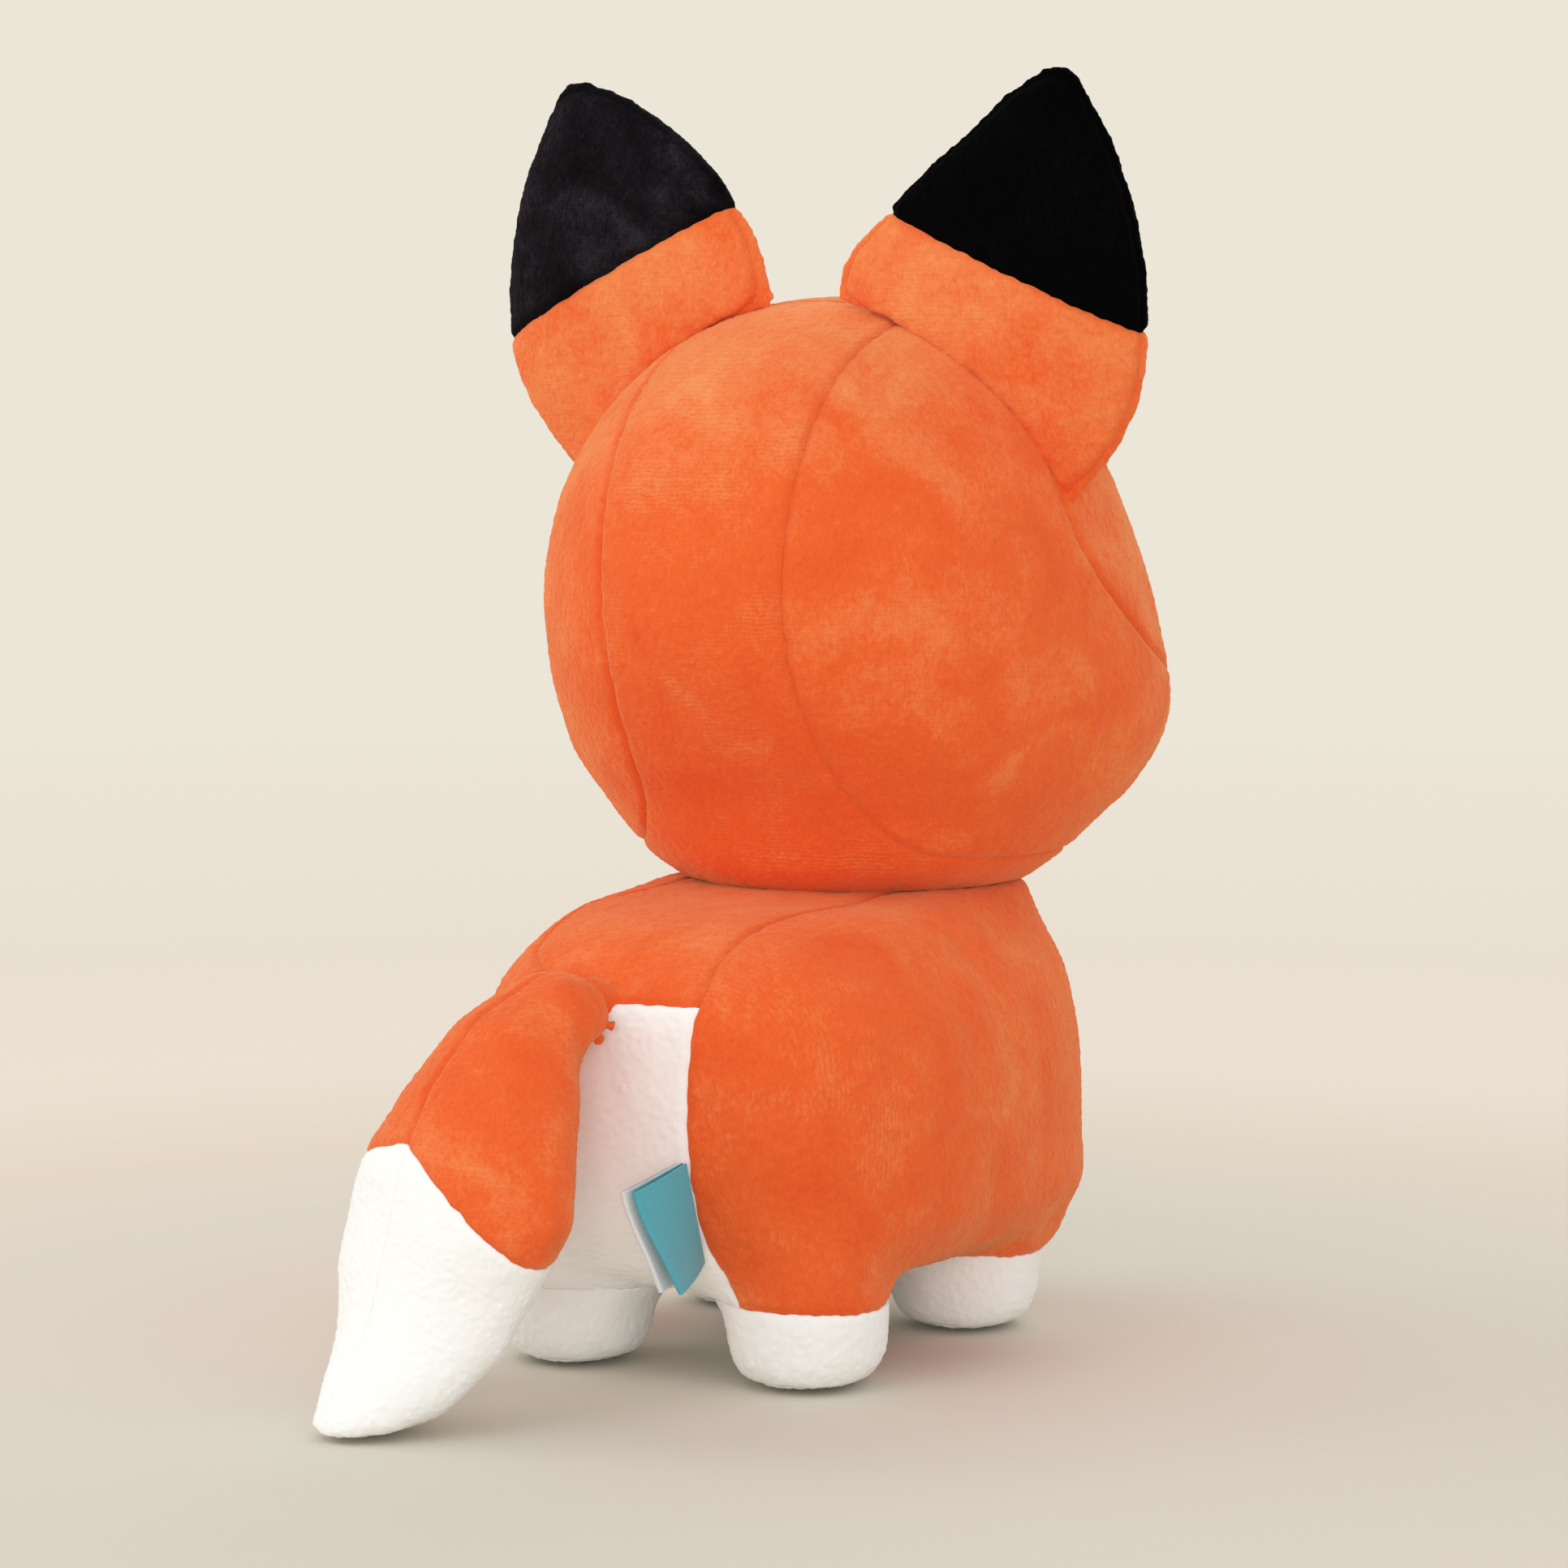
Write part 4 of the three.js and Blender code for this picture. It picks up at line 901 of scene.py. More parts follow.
class PlushSettings(bpy.types.PropertyGroup):
    voxel: FloatProperty(name="Voxel", description="Cell size of the padded forms", default=0.0025,
                         unit="LENGTH", subtype="DISTANCE")
    fine_voxel: FloatProperty(name="Fine voxel", description="Cell size of the ears and the tail", default=0.002,
                              unit="LENGTH", subtype="DISTANCE")
    pressure: FloatProperty(name="Pressure", description="Air pressure that fills the forms", default=4.0)
    frames: IntProperty(name="Frames", description="Length of the filling simulation", default=20)
    slack: FloatProperty(name="Slack", description="How far a form is drawn in before it is filled",
                         default=0.001, unit="LENGTH", subtype="DISTANCE")
    reach: FloatProperty(name="Reach", description="The furthest that filling moves a point", default=0.0022,
                         unit="LENGTH", subtype="DISTANCE")
    cloth: FloatProperty(name="Cloth", description="Thickness of a panel", default=0.0012, unit="LENGTH",
                         subtype="DISTANCE")
    seam_depth: FloatProperty(name="Seam depth", description="How far a panel's edge is drawn in", default=0.0007,
                              unit="LENGTH", subtype="DISTANCE")
    seam_width: FloatProperty(name="Seam width", description="How wide a panel's edge rolls in", default=0.0009,
                              unit="LENGTH", subtype="DISTANCE")
    pile: FloatProperty(name="Pile", description="Height of the tufts", default=0.0007, unit="LENGTH",
                        subtype="DISTANCE")
    tuft_size: FloatProperty(name="Tuft size", description="Width of the tufts", default=0.0012, unit="LENGTH",
                             subtype="DISTANCE")
    lumps: FloatProperty(name="Lumps", description="Height of the soft lumps", default=0.0013, unit="LENGTH",
                         subtype="DISTANCE")
    lump_size: FloatProperty(name="Lump size", description="Width of the soft lumps", default=0.016,
                             unit="LENGTH", subtype="DISTANCE")


FORMS = {}


def within(piece, form_name, depth):
    """Keeps a wad's points at least a depth inside the sewn form."""
    tree = FORMS.get(form_name)
    if tree is None:
        raise RuntimeError(f"{piece.name}: {form_name} is sewn first")
    points = places(piece.data)
    for index, point in enumerate(points):
        near, way, _, _ = tree.find_nearest(Vector(point))
        if (Vector(point) - near).dot(way) > -depth:
            points[index] = near - way * depth
    set_places(piece.data, points)


def sew(form, fields, panels, names, full_names, settings, hold):
    FORMS[form.name] = BVHTree.FromPolygons(
        [vert.co[:] for vert in form.data.vertices], [polygon.vertices[:] for polygon in form.data.polygons])
    for name, (points, ways, faces) in cut_out(form, fields, panels, names).items():
        full = full_names.get(name, name)
        material, slot = look(full)
        piece = sewn_panel(f"sewn_{full}", points, ways, faces, material, settings)
        hold(piece, full)
        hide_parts(full)
    mesh = form.data
    bpy.data.objects.remove(form)
    bpy.data.meshes.remove(mesh)


SEAT_REACH, SEAT_DEPTH = 0.014, 0.0045


def drawn_to(form_of_base, rise):
    """Draws a form's root onto what carries it."""
    def adjust(piece):
        base = bmesh.new()
        base.from_mesh(form_of_base)
        tree = BVHTree.FromBMesh(base)
        base.free()
        mesh = piece.data
        points = places(mesh)
        for index, point in enumerate(points):
            hit = tree.find_nearest(Vector(point))
            if hit[0] is not None and hit[3] < SEAT_REACH:
                points[index] -= np.array(rise) * SEAT_DEPTH * (1 - (hit[3] / SEAT_REACH) ** 2) ** 2
        set_places(mesh, points)
    return adjust


# in millimetres: the crease round the neck, how far head and torso are drawn to it, and the head's lean
CREASE_RADIUS, CREASE_HEIGHT, CREASE_SLOPE = 37, 99.6, 0.64
HEAD_PRESS, TORSO_RISE, TORSO_RISE_REACH = 1.8, 1.9, 8
HEAD_ASIDE, HEAD_ASIDE_HEIGHT, HEAD_ASIDE_REACH = 1.2, 137, 15
# from no funnel to all of it: height, distance from the neck, how far a face looks up, height over the crease
FUNNEL_HEIGHTS, FUNNEL_REACH, FUNNEL_FACING, FUNNEL_ABOVE = (122, 114), (56, 46), (0.175, -0.325), (-6, 0)


def from_neck(points):
    return np.hypot(points[:, 0], points[:, 1] - NECK_CENTRE_Y)


def funnel(piece):
    """Draws the head's underside straight down to the neck's crease, and sets the head a little askew."""
    points = drawn(places(piece.data))
    away = from_neck(points)
    level = CREASE_HEIGHT - HEAD_PRESS + np.maximum(away - CREASE_RADIUS, 0) * CREASE_SLOPE
    under = ramp(points[:, 2], *FUNNEL_HEIGHTS) * ramp(away, *FUNNEL_REACH)
    under *= ramp(normals(piece.data)[:, 2], *FUNNEL_FACING)
    points[:, 2] += (level - points[:, 2]) * under * ramp(points[:, 2] - level, *FUNNEL_ABOVE)
    points[:, 0] -= HEAD_ASIDE * bell(points[:, 2] - HEAD_ASIDE_HEIGHT, HEAD_ASIDE_REACH)
    set_drawn(piece, points)


# in millimetres, apart from shares and ways: where the shoulders start, how far and where the chest hangs, how the
# corners over the front paws are pushed out, and how far out the soft creases start
SHOULDER_HEIGHT, SHOULDER_FADE = 94, 1.5
CHEST_HANG, CHEST_Y, CHEST_FADE, CHEST_HEIGHT, CHEST_REACH = 1.1, -14, -6, 50, 30
HAUNCH_PUSH, HAUNCH_HEIGHT, HAUNCH_REACH, HAUNCH_FOOT_SHARE = 4.2, 23, 16, 0.35
HAUNCH_SPREAD, HAUNCH_BACK, HAUNCH_WAY, HAUNCH_RADII = 0.6, 8, (0.8, -0.6), (12, 24)
CREASE_SIDE = 30
# side, both ends as (y, z), depth and width in millimetres
CREASES = ((-1, (19, 90), (13, 62), 1.3, 3.4), (-1, (34, 86), (30, 64), 0.8, 3.4), (-1, (4, 76), (2, 50), 0.8, 3.0),
           (-1, (22, 44), (17, 26), 1.0, 3.0), (1, (20, 88), (26, 60), 1.1, 3.4), (1, (5, 70), (10, 48), 0.9, 3.0),
           (1, (20, 42), (17, 26), 1.0, 3.0))


def shoulders(piece):
    """Draws the torso's top up to the neck's crease, and lets the front corners hang over the paws."""
    points = drawn(places(piece.data))
    beyond = np.maximum(from_neck(points) - CREASE_RADIUS, 0)
    points[:, 2] += (TORSO_RISE * bell(beyond, TORSO_RISE_REACH)
                     * soft_ramp(points[:, 2], SHOULDER_HEIGHT, SHOULDER_FADE))
    for side, start, end, depth, width in CREASES:
        run = np.subtract(end, start)
        share = np.clip((points[:, 1:] - start) @ run / (run @ run), 0, 1)
        gap = np.linalg.norm(points[:, 1:] - start - np.outer(share, run), axis=1)
        points[:, 0] -= side * depth * bell(gap, width) * (points[:, 0] * side > CREASE_SIDE)
    points[:, 1] -= (CHEST_HANG * soft_ramp(points[:, 1], CHEST_Y, CHEST_FADE)
                     * bell(points[:, 2] - CHEST_HEIGHT, CHEST_REACH))
    for _, sign in SIDES:
        spread = points[:, :2] - (sign * LEG_SPREAD * HAUNCH_SPREAD, FRONT_LEG_Y + HAUNCH_BACK)
        way = spread / np.maximum(np.linalg.norm(spread, axis=1, keepdims=True), 1e-6)
        corner = np.clip(way @ np.multiply(HAUNCH_WAY, (sign, 1)), 0, 1) ** 2
        corner *= ramp(np.hypot(*spread.T), *HAUNCH_RADII)
        foot = (points[:, 2] - HEM_HEIGHT) / (HAUNCH_HEIGHT - HEM_HEIGHT) + HAUNCH_FOOT_SHARE
        band = np.where(points[:, 2] > HAUNCH_HEIGHT, bell(points[:, 2] - HAUNCH_HEIGHT, HAUNCH_REACH),
                        np.clip(foot, 0, 1))
        points[:, :2] += way * (HAUNCH_PUSH * corner * band)[:, None]
    set_drawn(piece, points)


class PLUSH_OT_head(bpy.types.Operator):
    """Sews the head"""
    bl_idname = "plush.head"
    bl_label = "Head"

    def execute(self, context):
        settings = context.scene.plush_settings
        fields = head_fields()
        form = padded_form("head_form", ["head_stuffing", *HEAD_PANELS], fields, head_panels, settings,
                           settings.voxel, 14, funnel, clips=[("neck_stuffing", HEAD_BOTTOM / MM, True)])

        def hold(piece, name):
            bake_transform(piece)
        sew(form, fields, head_panels, HEAD_PANELS, {}, settings, hold)
        return {"FINISHED"}


# (height over the hinge, move of the outer edge, move of the inner edge) in millimetres, both outwards
EAR_EDGES = {
    "left": ((-8, 0, 0), (0, 0, 0.6), (7, 0.1, 2.6), (15, -0.5, 2.4), (20, -0.2, 1.8), (28, 0.6, 2.4), (36, 2.3, 2.5),
             (48, 3.0, 2.4), (58, 4.0, 1.9), (64, 3.4, 1.3), (70, 1.8, 1.0)),
    "right": ((-14, 0.8, 0), (-8, 1.8, 2.0), (0, 2.5, 3.6), (7, 1.8, 3.1), (13, 0.8, 0.2), (21, 0.3, -2.6),
              (30, -0.5, -3.0), (38, -0.9, -3.2), (48, 0.4, -3.3), (57, 0.8, -1.4), (63, 1.2, -0.6), (70, 1.2, 0)),
}
EAR_TOP_RISE = {"left": 0.3, "right": 1.0}
EAR_FOOT_DROP = {"left": 0.0, "right": 3.2}
EAR_SWELL = 0.0009
# from none to all: the height over which the outer foot drops, and its distance from the ear's middle
EAR_FOOT_HEIGHTS, EAR_FOOT_ASIDE = (18, 2), (14, 28)


def ear_shape(name, sign):
    """Seats an ear on the head and gives its edges their curve."""
    middle, along, rise, _ = ear_frame(name, sign)
    seat = drawn_to(frame["nodes"]["head_stuffing"].data, rise)
    outwards = along * (1 if along[0] * sign > 0 else -1)

    def adjust(piece):
        swell(piece, EAR_SWELL)
        points = drawn(places(piece.data)) - middle
        table = [(height, -inner, outer) for height, outer, inner in EAR_EDGES[name]]
        points = fitted(points, outwards, rise, table)
        height = points @ rise
        foot = ramp(height, *EAR_FOOT_HEIGHTS) * ramp(points @ outwards, *EAR_FOOT_ASIDE)
        points += np.outer(
            EAR_TOP_RISE[name] * ramp(height, 0, EAR_HEIGHT) ** 2 - EAR_FOOT_DROP[name] * foot, rise)
        set_drawn(piece, points + middle)
        seat(piece)
    return adjust


class PLUSH_OT_ears(bpy.types.Operator):
    """Sews both ears"""
    bl_idname = "plush.ears"
    bl_label = "Ears"

    def execute(self, context):
        settings = context.scene.plush_settings
        for name, sign in SIDES:
            fields = ear_fields(name, sign)
            full = {panel: f"ear_{name}_{panel}" for panel in EAR_PANELS}
            middle, _, rise, _ = ear_frame(name, sign)
            form = padded_form(
                f"ear_{name}_form", [f"ear_{name}_stuffing", *full.values()], fields, ear_panels, settings,
                settings.fine_voxel, 5, ear_shape(name, sign))

            def hold(piece, panel, name=name, middle=middle, rise=rise):
                if "tip" in panel or "lining" in panel:
                    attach(piece, f"ear_{name}")
                else:
                    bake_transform(piece)
            sew(form, fields, ear_panels, EAR_PANELS, full, settings, hold)
        return {"FINISHED"}


# the root's size beside the solid's, and how far it is sunk and set aside, in metres
ROOT_SHARE, ROOT_SINK, ROOT_ASIDE = 0.76, 0.0035, 0.001
RIGHTWARDS = np.array((-0.875, -0.485, 0))


def root_shape():
    """The tail's root as it sits pressed into the rump."""
    root = Vector(JOINTS["tail_lift"]["pos_m"])
    low = root - Vector((0, 0, ROOT_SINK)) - Vector(RIGHTWARDS) * ROOT_ASIDE
    return Matrix.Translation(low) @ Matrix.Scale(ROOT_SHARE, 4) @ Matrix.Translation(-root)


NECK_CLIP = 0.5


class PLUSH_OT_torso(bpy.types.Operator):
    """Sews the torso, the legs and the paws"""
    bl_idname = "plush.torso"
    bl_label = "Torso"

    def execute(self, context):
        settings = context.scene.plush_settings
        fields = torso_fields()
        stuffing = ["torso_stuffing", *[f"paw_{name}_stuffing" for name, _, _ in LEGS]]
        form = padded_form("torso_form", [*stuffing, *TORSO_PANELS], fields, torso_panels, settings,
                           settings.voxel, 8, shoulders,
                           clips=[("neck_stuffing", (NECK_HEIGHT - NECK_CLIP) / MM, False)],
                           shaped=[("tail_root", root_shape())])

        def hold(piece, name):
            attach(piece, "torso")
        sew(form, fields, torso_panels, TORSO_PANELS, {}, settings, hold)
        return {"FINISHED"}


# (height, move of the tail's left side, move of its right side) in millimetres, both towards the fox's right
TAIL_EDGES = ((0, 0.5, 4.2), (8, 1.0, 3.4), (14, 1.8, 2.6), (21, 1.4, 1.4), (30, -1.4, 1.8), (41, -1.0, 6.6),
              (54, -0.6, 4.2), (62, 2.2, 3.0), (70, 3.4, 2.2), (90, 2.5, 1.8))
# (place to the right of the root, how far the tail's top sinks there) in millimetres
TAIL_TOP = ((-30, 1.0), (-24, 1.6), (-16, 2.9), (-6, 3.9), (0, 5.2), (5, 6.6), (12, 7))
# (height, place to the right of the root that the tail's right edge keeps to) in millimetres
ROOT_EDGE = ((66, -2.5), (70.5, -1.5), (74, 0.6), (77, 2.2), (83, 3.8), (90, 6.5))
TAIL_TOP_HEIGHTS = (58, 88)
# the fold beside the root: depth, width, place, lean, middle height and its reach; the tail's foot, how far it sinks
FOLD_DEPTH, FOLD_WIDTH, FOLD_ASIDE, FOLD_LEAN, FOLD_TOP, FOLD_MIDDLE, FOLD_REACH = 2.0, 1.8, 0.5, 0.12, 78, 75, 8
FOOT_SINK, FOOT_HEIGHTS, FOOT_FLOOR = 1.4, (12, 4), 0.5
# the root's right end, which stays behind the tail's own edge and is smoothed
END_HEIGHTS, END_SHARE, END_ASIDE, END_BAND, END_EASE = (66, 70), 0.9, 0.8, (68, 85), 24
TAIL_SWELL = 0.0007


def tail_shape():
    """Seats the tail on the rump and gives its sides their curve."""
    root, across, out = tail_frame()
    seat = drawn_to(frame["nodes"]["torso_stuffing"].data, out)
    rightwards = across * (1 if across[0] < 0 else -1)

    def adjust(piece):
        swell(piece, TAIL_SWELL)
        points = fitted(drawn(places(piece.data)), rightwards, np.array((0, 0, 1.0)), TAIL_EDGES)
        aside = (points - root) @ RIGHTWARDS
        points[:, 2] -= np.interp(aside, *np.array(TAIL_TOP).T) * ramp(points[:, 2], *TAIL_TOP_HEIGHTS)
        edge = np.interp(points[:, 2], *np.array(ROOT_EDGE).T)
        beyond = np.maximum(aside - edge, 0) * ramp(points[:, 2], *END_HEIGHTS)
        points -= np.outer(beyond * END_SHARE, RIGHTWARDS)
        fold = bell(aside + FOLD_ASIDE + (points[:, 2] - FOLD_TOP) * FOLD_LEAN, FOLD_WIDTH)
        fold *= bell(points[:, 2] - FOLD_MIDDLE, FOLD_REACH)
        points -= normals(piece.data) * (FOLD_DEPTH * fold)[:, None]
        points[:, 2] -= FOOT_SINK * ramp(points[:, 2], *FOOT_HEIGHTS)
        points[:, 2] = np.maximum(points[:, 2], FOOT_FLOOR)
        set_drawn(piece, points)
        seat(piece)
        end = (aside > END_ASIDE) & (points[:, 2] > END_BAND[0]) & (points[:, 2] < END_BAND[1])
        piece.vertex_groups.new(name="end").add(np.nonzero(end)[0].tolist(), 1.0, "REPLACE")
        smoothed(piece, END_EASE, vertex_group="end")
        apply_all(piece)
        piece.vertex_groups.clear()
    return adjust


class PLUSH_OT_tail(bpy.types.Operator):
    """Sews the tail"""
    bl_idname = "plush.tail"
    bl_label = "Tail"

    def execute(self, context):
        settings = context.scene.plush_settings
        fields = tail_fields()
        root, _, out = tail_frame()
        form = padded_form("tail_form", ["tail_stuffing", *TAIL_PANELS], fields, tail_panels, settings,
                           settings.fine_voxel, 6, tail_shape())

        def hold(piece, name):
            if "tip" in name:
                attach(piece, "tail")
            else:
                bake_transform(piece)
        sew(form, fields, tail_panels, TAIL_PANELS, {}, settings, hold)
        return {"FINISHED"}


STUFFING = {
    "head_stuffing": "head", "neck_stuffing": "head", "torso_stuffing": "torso", "ear_left_stuffing": "ear_left",
    "ear_right_stuffing": "ear_right", "tail_stuffing": "tail", "tail_root": "tail_root",
    **{f"paw_{name}_stuffing": "torso" for name, _, _ in LEGS},
}
# in metres: how far a wad stays inside its form, its shell's cells, and its lumps
WAD_EASE, WAD_DEPTH, WAD_FLOOR, WAD_VOXEL = 0.0012, 0.002, 0.1045, 0.003
WAD_LUMPS, WAD_LUMP_SIZE, WAD_MIDDLE = 0.0012, 0.009, 0.7


class PLUSH_OT_filling(bpy.types.Operator):
    """Makes the wads of fibre inside"""
    bl_idname = "plush.filling"
    bl_label = "Filling"

    def execute(self, context):
        shapes = {"tail_stuffing": (tail_shape(), "tail_form"), "head_stuffing": (funnel, "head_form"),
                  "torso_stuffing": (shoulders, "torso_form"),
                  **{f"ear_{name}_stuffing": (ear_shape(name, sign), f"ear_{name}_form") for name, sign in SIDES}}
        for name, body in STUFFING.items():
            is_root = name == "tail_root"
            piece = gathered(f"wad_{name}", [] if is_root else [name], shaped=[(name, root_shape())] * is_root)
            modify(piece, "REMESH", mode="VOXEL", voxel_size=WAD_VOXEL)
            modify(piece, "DISPLACE", texture=noise_texture("wad", WAD_LUMP_SIZE, 2), strength=WAD_LUMPS,
                   mid_level=WAD_MIDDLE, texture_coords="LOCAL")
            apply_all(piece)
            keep_largest(piece)
            if name in shapes:
                shape, form_name = shapes[name]
                shape(piece)
                within(piece, form_name, WAD_DEPTH)
                if name == "head_stuffing":
                    points = places(piece.data)
                    points[:, 2] = np.maximum(points[:, 2], WAD_FLOOR)
                    set_places(piece.data, points)
            elif not is_root:
                swell(piece, -WAD_EASE)
            shade_smooth(piece.data)
            piece.data.materials.append(orange() if is_root else white())
            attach(piece, body)
            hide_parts(name)
        return {"FINISHED"}


def turned(name, profile, point, axis, segments=48):
    """A mesh turned from a profile of radius and height, closed at the axis at both ends."""
    bm = bmesh.new()
    verts = [bm.verts.new((radius, 0, height)) for radius, height in profile]
    edges = [bm.edges.new(pair) for pair in zip(verts[:-1], verts[1:])]
    bmesh.ops.spin(bm, geom=verts + edges, cent=(0, 0, 0), axis=(0, 0, 1), angle=math.tau, steps=segments)
    bmesh.ops.remove_doubles(bm, verts=bm.verts[:], dist=1e-6)
    bmesh.ops.recalc_face_normals(bm, faces=bm.faces[:])
    turn = Vector((0, 0, 1)).rotation_difference(Vector(axis))
    bm.transform(Matrix.Translation(point) @ turn.to_matrix().to_4x4())
    mesh = bpy.data.meshes.new(name)
    bm.to_mesh(mesh)
    bm.free()
    shade_smooth(mesh)
    return add_piece(name, mesh)


def flat_way(points):
    """The middle of a flat ring of points, and the way that it faces."""
    middle = points.mean(0)
    _, _, axes = np.linalg.svd(points - middle)
    return Vector(middle), Vector(axes[2])


# radius and height of each dome, in metres, the post, and the rolled rim as (share of the radius, height)
BUTTONS = {"eye_left": (0.0065, 0.0036), "eye_right": (0.0065, 0.0036), "nose": (0.005, 0.004)}
POST_RADIUS, POST_LENGTH, WASHER_DEPTH = 0.0019, 0.012, 0.0057
BUTTON_RIM = ((0.8, -0.0016), (0.96, -0.0011), (1.02, -0.0002))
DOME_START, DOME_STEPS = 0.12, 14


class PLUSH_OT_buttons(bpy.types.Operator):
    """Sets the eyes and the nose on their posts, and finishes their washers"""
    bl_idname = "plush.buttons"
    bl_label = "Eyes and nose"

    def execute(self, context):
        head = Vector(placed(HEAD_CENTRE))
        for name, (radius, height) in BUTTONS.items():
            washer = frame["nodes"][f"{name}_washer"]
            middle, way = flat_way(places(washer.data))
            way *= 1 if way.dot(middle - head) > 0 else -1
            dome = [(radius * math.cos(a), height * math.sin(a))
                    for a in np.linspace(DOME_START, math.pi / 2, DOME_STEPS)]
            profile = [(0, -POST_LENGTH), (POST_RADIUS, -POST_LENGTH), (POST_RADIUS, BUTTON_RIM[0][1]),
                       *[(radius * share, rim) for share, rim in BUTTON_RIM], *dome[:-1], (0, height)]
            piece = turned(f"gloss_{name}", profile, middle + way * WASHER_DEPTH, way)
            piece.data.materials.append(gloss())
            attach(piece, "head")
            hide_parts(name)
            for slot in washer.material_slots:
                slot.material = moulded()
        return {"FINISHED"}


# the seam ring's radius, half thickness, how much a fold adds and half height in metres, and its drop in millimetres
RING_RADIUS, RING_THICKNESS, RING_FOLD, RING_HALF_HEIGHT, RING_DROP = 0.0338, 0.0012, 0.0004, 0.0026, 0.4
RING_STEPS, RING_SIDES, RING_FOLDS, RING_SWAYS, RING_SWAY = 240, 12, 46, 7, 1.3


class PLUSH_OT_neck(bpy.types.Operator):
    """Gathers the seam round the neck"""
    bl_idname = "plush.neck"
    bl_label = "Neck seam"

    def execute(self, context):
        centre = placed((0, NECK_CENTRE_Y, CREASE_HEIGHT - RING_DROP))
        points, faces = [], []
        for i in range(RING_STEPS):
            angle = math.tau * i / RING_STEPS
            fold = 0.5 + 0.5 * math.sin(RING_FOLDS * angle + RING_SWAY * math.sin(RING_SWAYS * angle))
            here, there = i * RING_SIDES, (i + 1) % RING_STEPS * RING_SIDES
            for k in range(RING_SIDES):
                turn = math.tau * k / RING_SIDES
                out = RING_RADIUS + (RING_THICKNESS + RING_FOLD * fold) * math.cos(turn)
                points.append(centre + Vector((
                    out * math.cos(angle), out * math.sin(angle), RING_HALF_HEIGHT * math.sin(turn))))
                up = (k + 1) % RING_SIDES
                faces.append((here + k, there + k, there + up, here + up))
        mesh = bpy.data.meshes.new("gathered_neck_seam")
        mesh.from_pydata(points, [], faces)
        shade_smooth(mesh)
        # The ring's darker orange is painted shade for the crease between head and torso.
        mesh.materials.append(orange_thread())
        piece = add_piece("gathered_neck_seam", mesh)
        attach(piece, "neck")
        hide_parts("neck_seam")
        return {"FINISHED"}


LABELS = (
    # name, length, reach, place beside the seam, turn at the root and at the foot, material, slot
    ("brand_label", 0.0232, 0.0168, 0.0007, (-7, 15), "teal", "teal_satin"),
    ("care_label", 0.0226, 0.0175, -0.0007, (-10, 6), "pale", "white_satin"),
)
LABEL_ROOT, LABEL_LEAN, LABEL_DROOP = 0.002, 19, -7
LABEL_FOLD, LABEL_CLOTH = 0.00045, 0.00034
LABEL_COLUMNS, LABEL_BENDS, LABEL_ROWS, LABEL_CURL = 16, 9, 28, 1.2
# how far the two sides stand apart midway, and the ripple's height and its waves along and across
LABEL_BULGE, LABEL_RIPPLE, RIPPLE_ALONG, RIPPLE_ACROSS = 0.5, 0.00025, 7, 3
WEAVE_SIZE = 10


class PLUSH_OT_labels(bpy.types.Operator):
    """Folds the ribbon label and the care label and sews them into the rump's seam"""
    bl_idname = "plush.labels"
    bl_label = "Labels"

    def execute(self, context):
        root = Vector(JOINTS["label_flip"]["pos_m"])
        lean = Matrix.Rotation(math.radians(90), 3, "Z") @ Matrix.Rotation(math.radians(LABEL_LEAN), 3, "Y")
        droop = math.tan(math.radians(LABEL_DROOP))
        for name, length, reach, beside_seam, (first, last), tone, slot in LABELS:
            run = np.linspace(0, 1, LABEL_COLUMNS)
            bend = np.linspace(0, math.pi, LABEL_BENDS)[1:-1]
            loop = [(share * reach, LABEL_FOLD) for share in run]
            loop += [(reach + LABEL_FOLD * math.sin(a), LABEL_FOLD * math.cos(a)) for a in bend]
            loop += [(share * reach, -LABEL_FOLD) for share in run[::-1]]
            across = len(loop)
            points = []
            for share in np.linspace(0, 1, LABEL_ROWS + 1):
                turn = math.radians(first + (last - first) * share ** LABEL_CURL)
                for out, thick in loop:
                    bulge = thick * (1 + LABEL_BULGE * math.sin(math.pi * min(1, out / reach)))
                    ripple = LABEL_RIPPLE * math.sin(RIPPLE_ALONG * share + RIPPLE_ACROSS * out / reach) * out / reach
                    aside = out * math.sin(turn) + bulge + ripple + beside_seam
                    ahead = LABEL_ROOT + out * math.cos(turn)
                    points.append(root + lean @ Vector((ahead, aside, -length * share - droop * out)))
            faces = [(a, a + 1, a + across + 1, a + across)
                     for row in range(LABEL_ROWS) for a in range(row * across, (row + 1) * across - 1)]
            mesh = bpy.data.meshes.new(f"folded_{name}")
            mesh.from_pydata(points, [], faces)
            weave = mesh.uv_layers.new(name="weave")
            for corner in mesh.loops:
                row, column = divmod(corner.vertex_index, across)
                size = (column / (across - 1) * 2 * reach, row / LABEL_ROWS * length)
                weave.data[corner.index].uv = (size[0] * MM / WEAVE_SIZE, size[1] * MM / WEAVE_SIZE)
            mesh.materials.append(satin(tone))
            piece = add_piece(f"folded_{name}", mesh)
            modify(piece, "SOLIDIFY", thickness=LABEL_CLOTH, offset=0)
            apply_all(piece)
            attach(piece, "labels")
            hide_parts(name)
        return {"FINISHED"}


# ---------------------------------------------------------------- stage

# the picture's camera: place in the seams' drawing, angles in degrees, lens and sensor in millimetres
CAMERA, CAMERA_YAW, CAMERA_PITCH = (-503, 922, 215), 29, -5.1
CAMERA_LENS, CAMERA_SENSOR, CAMERA_CLIP = 109.38, 36, 0.05

BACKDROP = (0.838, 0.791, 0.686, 1)
SKY, SKY_STRENGTH = (0.965, 0.985, 1.0, 1), 0.84
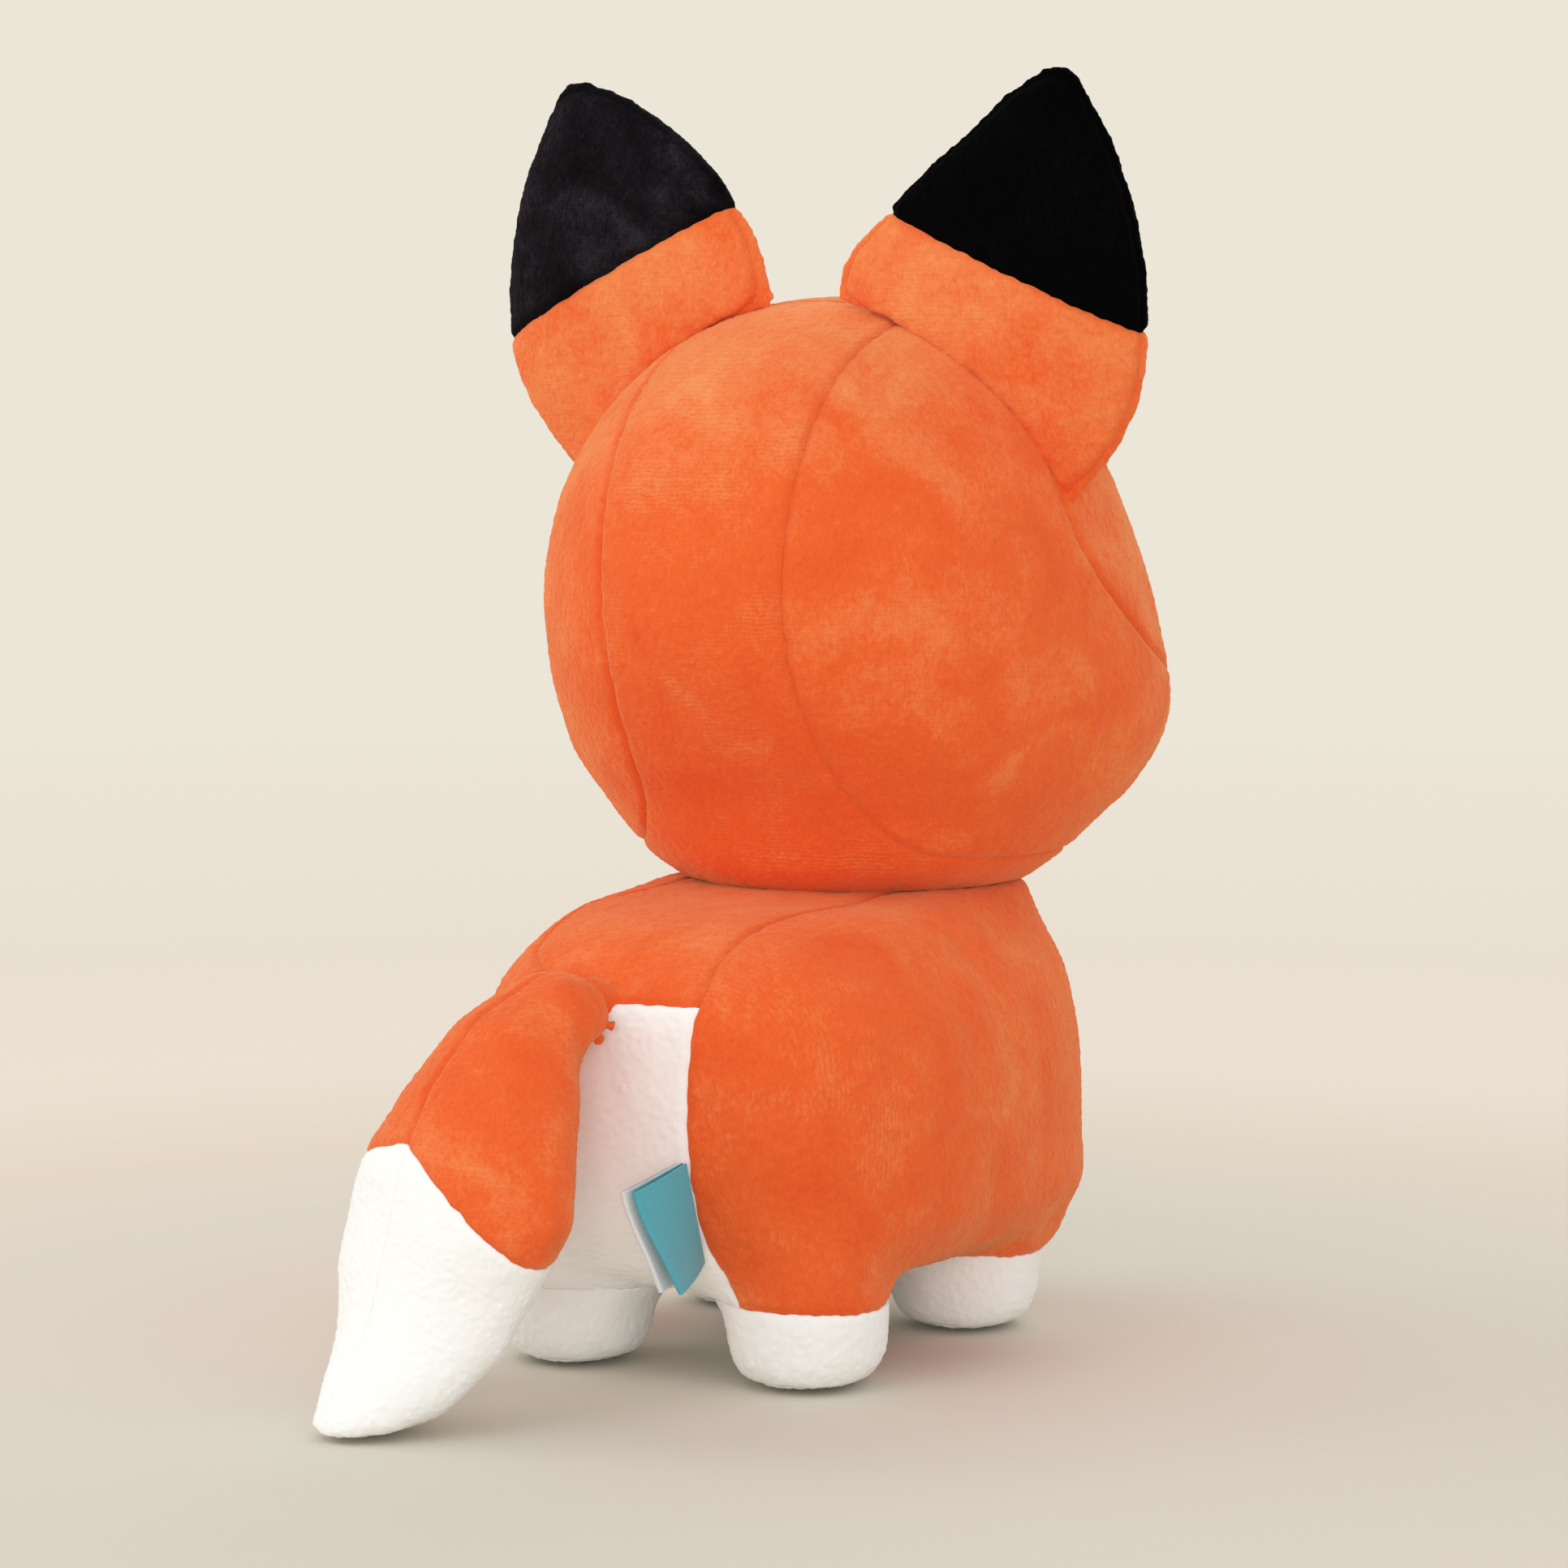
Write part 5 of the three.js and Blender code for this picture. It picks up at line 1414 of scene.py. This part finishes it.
# colours of the floor by their distance from the fox, with a painted soft shadow of the fox as the slightly darker
# ring from 0.2 to 0.29, and where the backdrop's glow sets in, in metres
FLOOR_AND_SHADOW_STOPS = ((0.0, (0.70, 0.66, 0.57)), (0.2, (0.70, 0.64, 0.545)), (0.29, (0.735, 0.638, 0.533)),
               (0.445, (0.791, 0.701, 0.591)), (0.64, (0.815, 0.730, 0.624)), (0.9, (0.823, 0.753, 0.645)),
               (1.24, (0.826, 0.766, 0.66)), (1.74, BACKDROP[:3]))
FLOOR_GLOW, FLOOR_REACH, FLOOR_HALF = (0.3, 0.75), 2.0, 60
# place, size and power of each lamp, in metres and watts
LAMPS = {"key": ((0.2, 1.2, 1.8), 1.4, 4.4), "fill": ((-0.7, 1.5, 0.3), 0.5, 5.2),
         "rim": ((1.5, 0.4, 0.8), 1.0, 4.5), "front": ((0.2, -1.4, 1.0), 1.2, 5)}
LAMP_COLOR, LAMP_AIM = (0.95, 0.98, 1.0), (0, 0, 0.13)


def floor_material():
    """Matt pale card with a painted soft shadow round the fox, that runs into the backdrop's colour away from the
    fox.
    """
    def dress(tree):
        away = node(tree, "VectorMath", {0: object_place(tree)}, operation="LENGTH").outputs["Value"]
        colors = node(tree, "ValToRGB", {0: ranged(tree, away, 0.0, FLOOR_REACH)})
        stops = colors.color_ramp.elements
        while len(stops) < len(FLOOR_AND_SHADOW_STOPS):
            stops.new(0.5)
        for stop, (reach, color) in zip(stops, FLOOR_AND_SHADOW_STOPS):
            stop.position = reach / FLOOR_REACH
            stop.color = (*color, 1)
        far = ranged(tree, away, *FLOOR_GLOW, interpolation="SMOOTHSTEP")
        near = calc(tree, "SUBTRACT", 1.0, far)
        unlit = (0, 0, 0, 1)
        return {"Base Color": between(tree, near, unlit, colors.outputs[0]),
                "Emission Color": between(tree, far, unlit, colors.outputs[0]), "Emission Strength": 1.0,
                "Roughness": 0.95, "Specular IOR Level": 0.0}
    return surface("floor", dress)


def sky():
    """Soft light from all round, with the backdrop for what looks past the fox."""
    world = bpy.data.worlds.new("world")
    world.use_nodes = True
    tree = world.node_tree
    soft = tree.nodes["Background"]
    feed(tree, soft, {"Color": SKY, "Strength": SKY_STRENGTH})
    seen = node(tree, "Background", {"Color": BACKDROP, "Strength": 1.0})
    path = node(tree, "LightPath", {}).outputs
    mirrored = calc(tree, "ADD", path["Is Glossy Ray"], path["Is Transmission Ray"])
    shown = calc(tree, "ADD", path["Is Camera Ray"], mirrored, clamp=True)
    mix = node(tree, "MixShader", {0: shown, 1: soft.outputs[0], 2: seen.outputs[0]})
    feed(tree, tree.nodes["World Output"], {"Surface": mix.outputs[0]})
    return world


def face_along(piece, way):
    """Turns a camera or a lamp to look along a way, and links it."""
    piece.rotation_euler = way.to_track_quat("-Z", "Y").to_euler()
    bpy.context.scene.collection.objects.link(piece)


class PLUSH_OT_stage(bpy.types.Operator):
    """Sets the floor, the backdrop, the lights and the camera"""
    bl_idname = "plush.stage"
    bl_label = "Stage"

    def execute(self, context):
        scene = context.scene
        yaw, pitch = math.radians(CAMERA_YAW), math.radians(CAMERA_PITCH)
        camera = bpy.data.objects.new("camera", bpy.data.cameras.new("camera"))
        camera.data.lens = CAMERA_LENS
        camera.data.sensor_width = CAMERA_SENSOR
        camera.data.clip_start = CAMERA_CLIP
        camera.location = placed(CAMERA)
        face_along(camera, Vector((
            math.sin(yaw) * math.cos(pitch), -math.cos(yaw) * math.cos(pitch), math.sin(pitch))))
        scene.camera = camera

        floor = bpy.data.meshes.new("floor")
        corners = [(x * FLOOR_HALF, y * FLOOR_HALF, 0) for x, y in ((-1, -1), (1, -1), (1, 1), (-1, 1))]
        floor.from_pydata(corners, [], [(0, 1, 2, 3)])
        floor = add_piece("floor", floor)
        floor.data.materials.append(floor_material())

        scene.world = sky()
        for name, (place, size, power) in LAMPS.items():
            lamp = bpy.data.objects.new(name, bpy.data.lights.new(name, "AREA"))
            lamp.data.shape = "DISK"
            lamp.data.size = size
            lamp.data.energy = power
            lamp.data.color = LAMP_COLOR
            lamp.location = place
            face_along(lamp, Vector(LAMP_AIM) - Vector(place))
        scene.view_settings.view_transform = "Standard"
        return {"FINISHED"}


class PLUSH_PT_panel(bpy.types.Panel):
    """The fox's pieces and settings"""
    bl_idname = "PLUSH_PT_panel"
    bl_label = "Plush fox"
    bl_space_type = "VIEW_3D"
    bl_region_type = "UI"
    bl_category = "Plush fox"

    def draw(self, context):
        for key in PlushSettings.__annotations__:
            self.layout.prop(context.scene.plush_settings, key)
        for operator in OPERATORS:
            self.layout.operator(operator.bl_idname)


OPERATORS = (PLUSH_OT_stage, PLUSH_OT_torso, PLUSH_OT_head, PLUSH_OT_ears, PLUSH_OT_tail, PLUSH_OT_neck,
             PLUSH_OT_buttons, PLUSH_OT_labels, PLUSH_OT_filling)
CLASSES = (PlushSettings, *OPERATORS, PLUSH_PT_panel)


def register():
    for cls in CLASSES:
        bpy.utils.register_class(cls)
    bpy.types.Scene.plush_settings = PointerProperty(type=PlushSettings)


def unregister():
    del bpy.types.Scene.plush_settings
    for cls in reversed(CLASSES):
        bpy.utils.unregister_class(cls)


def main():
    for selected in bpy.context.selected_objects:
        selected.select_set(False)
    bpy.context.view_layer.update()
    register()
    for operator in ("stage", "torso", "head", "ears", "tail", "neck", "buttons", "labels", "filling"):
        if getattr(bpy.ops.plush, operator)() != {"FINISHED"}:
            raise RuntimeError(f"{operator} did not finish")
    bpy.context.view_layer.update()


if __name__ == "__main__":
    main()
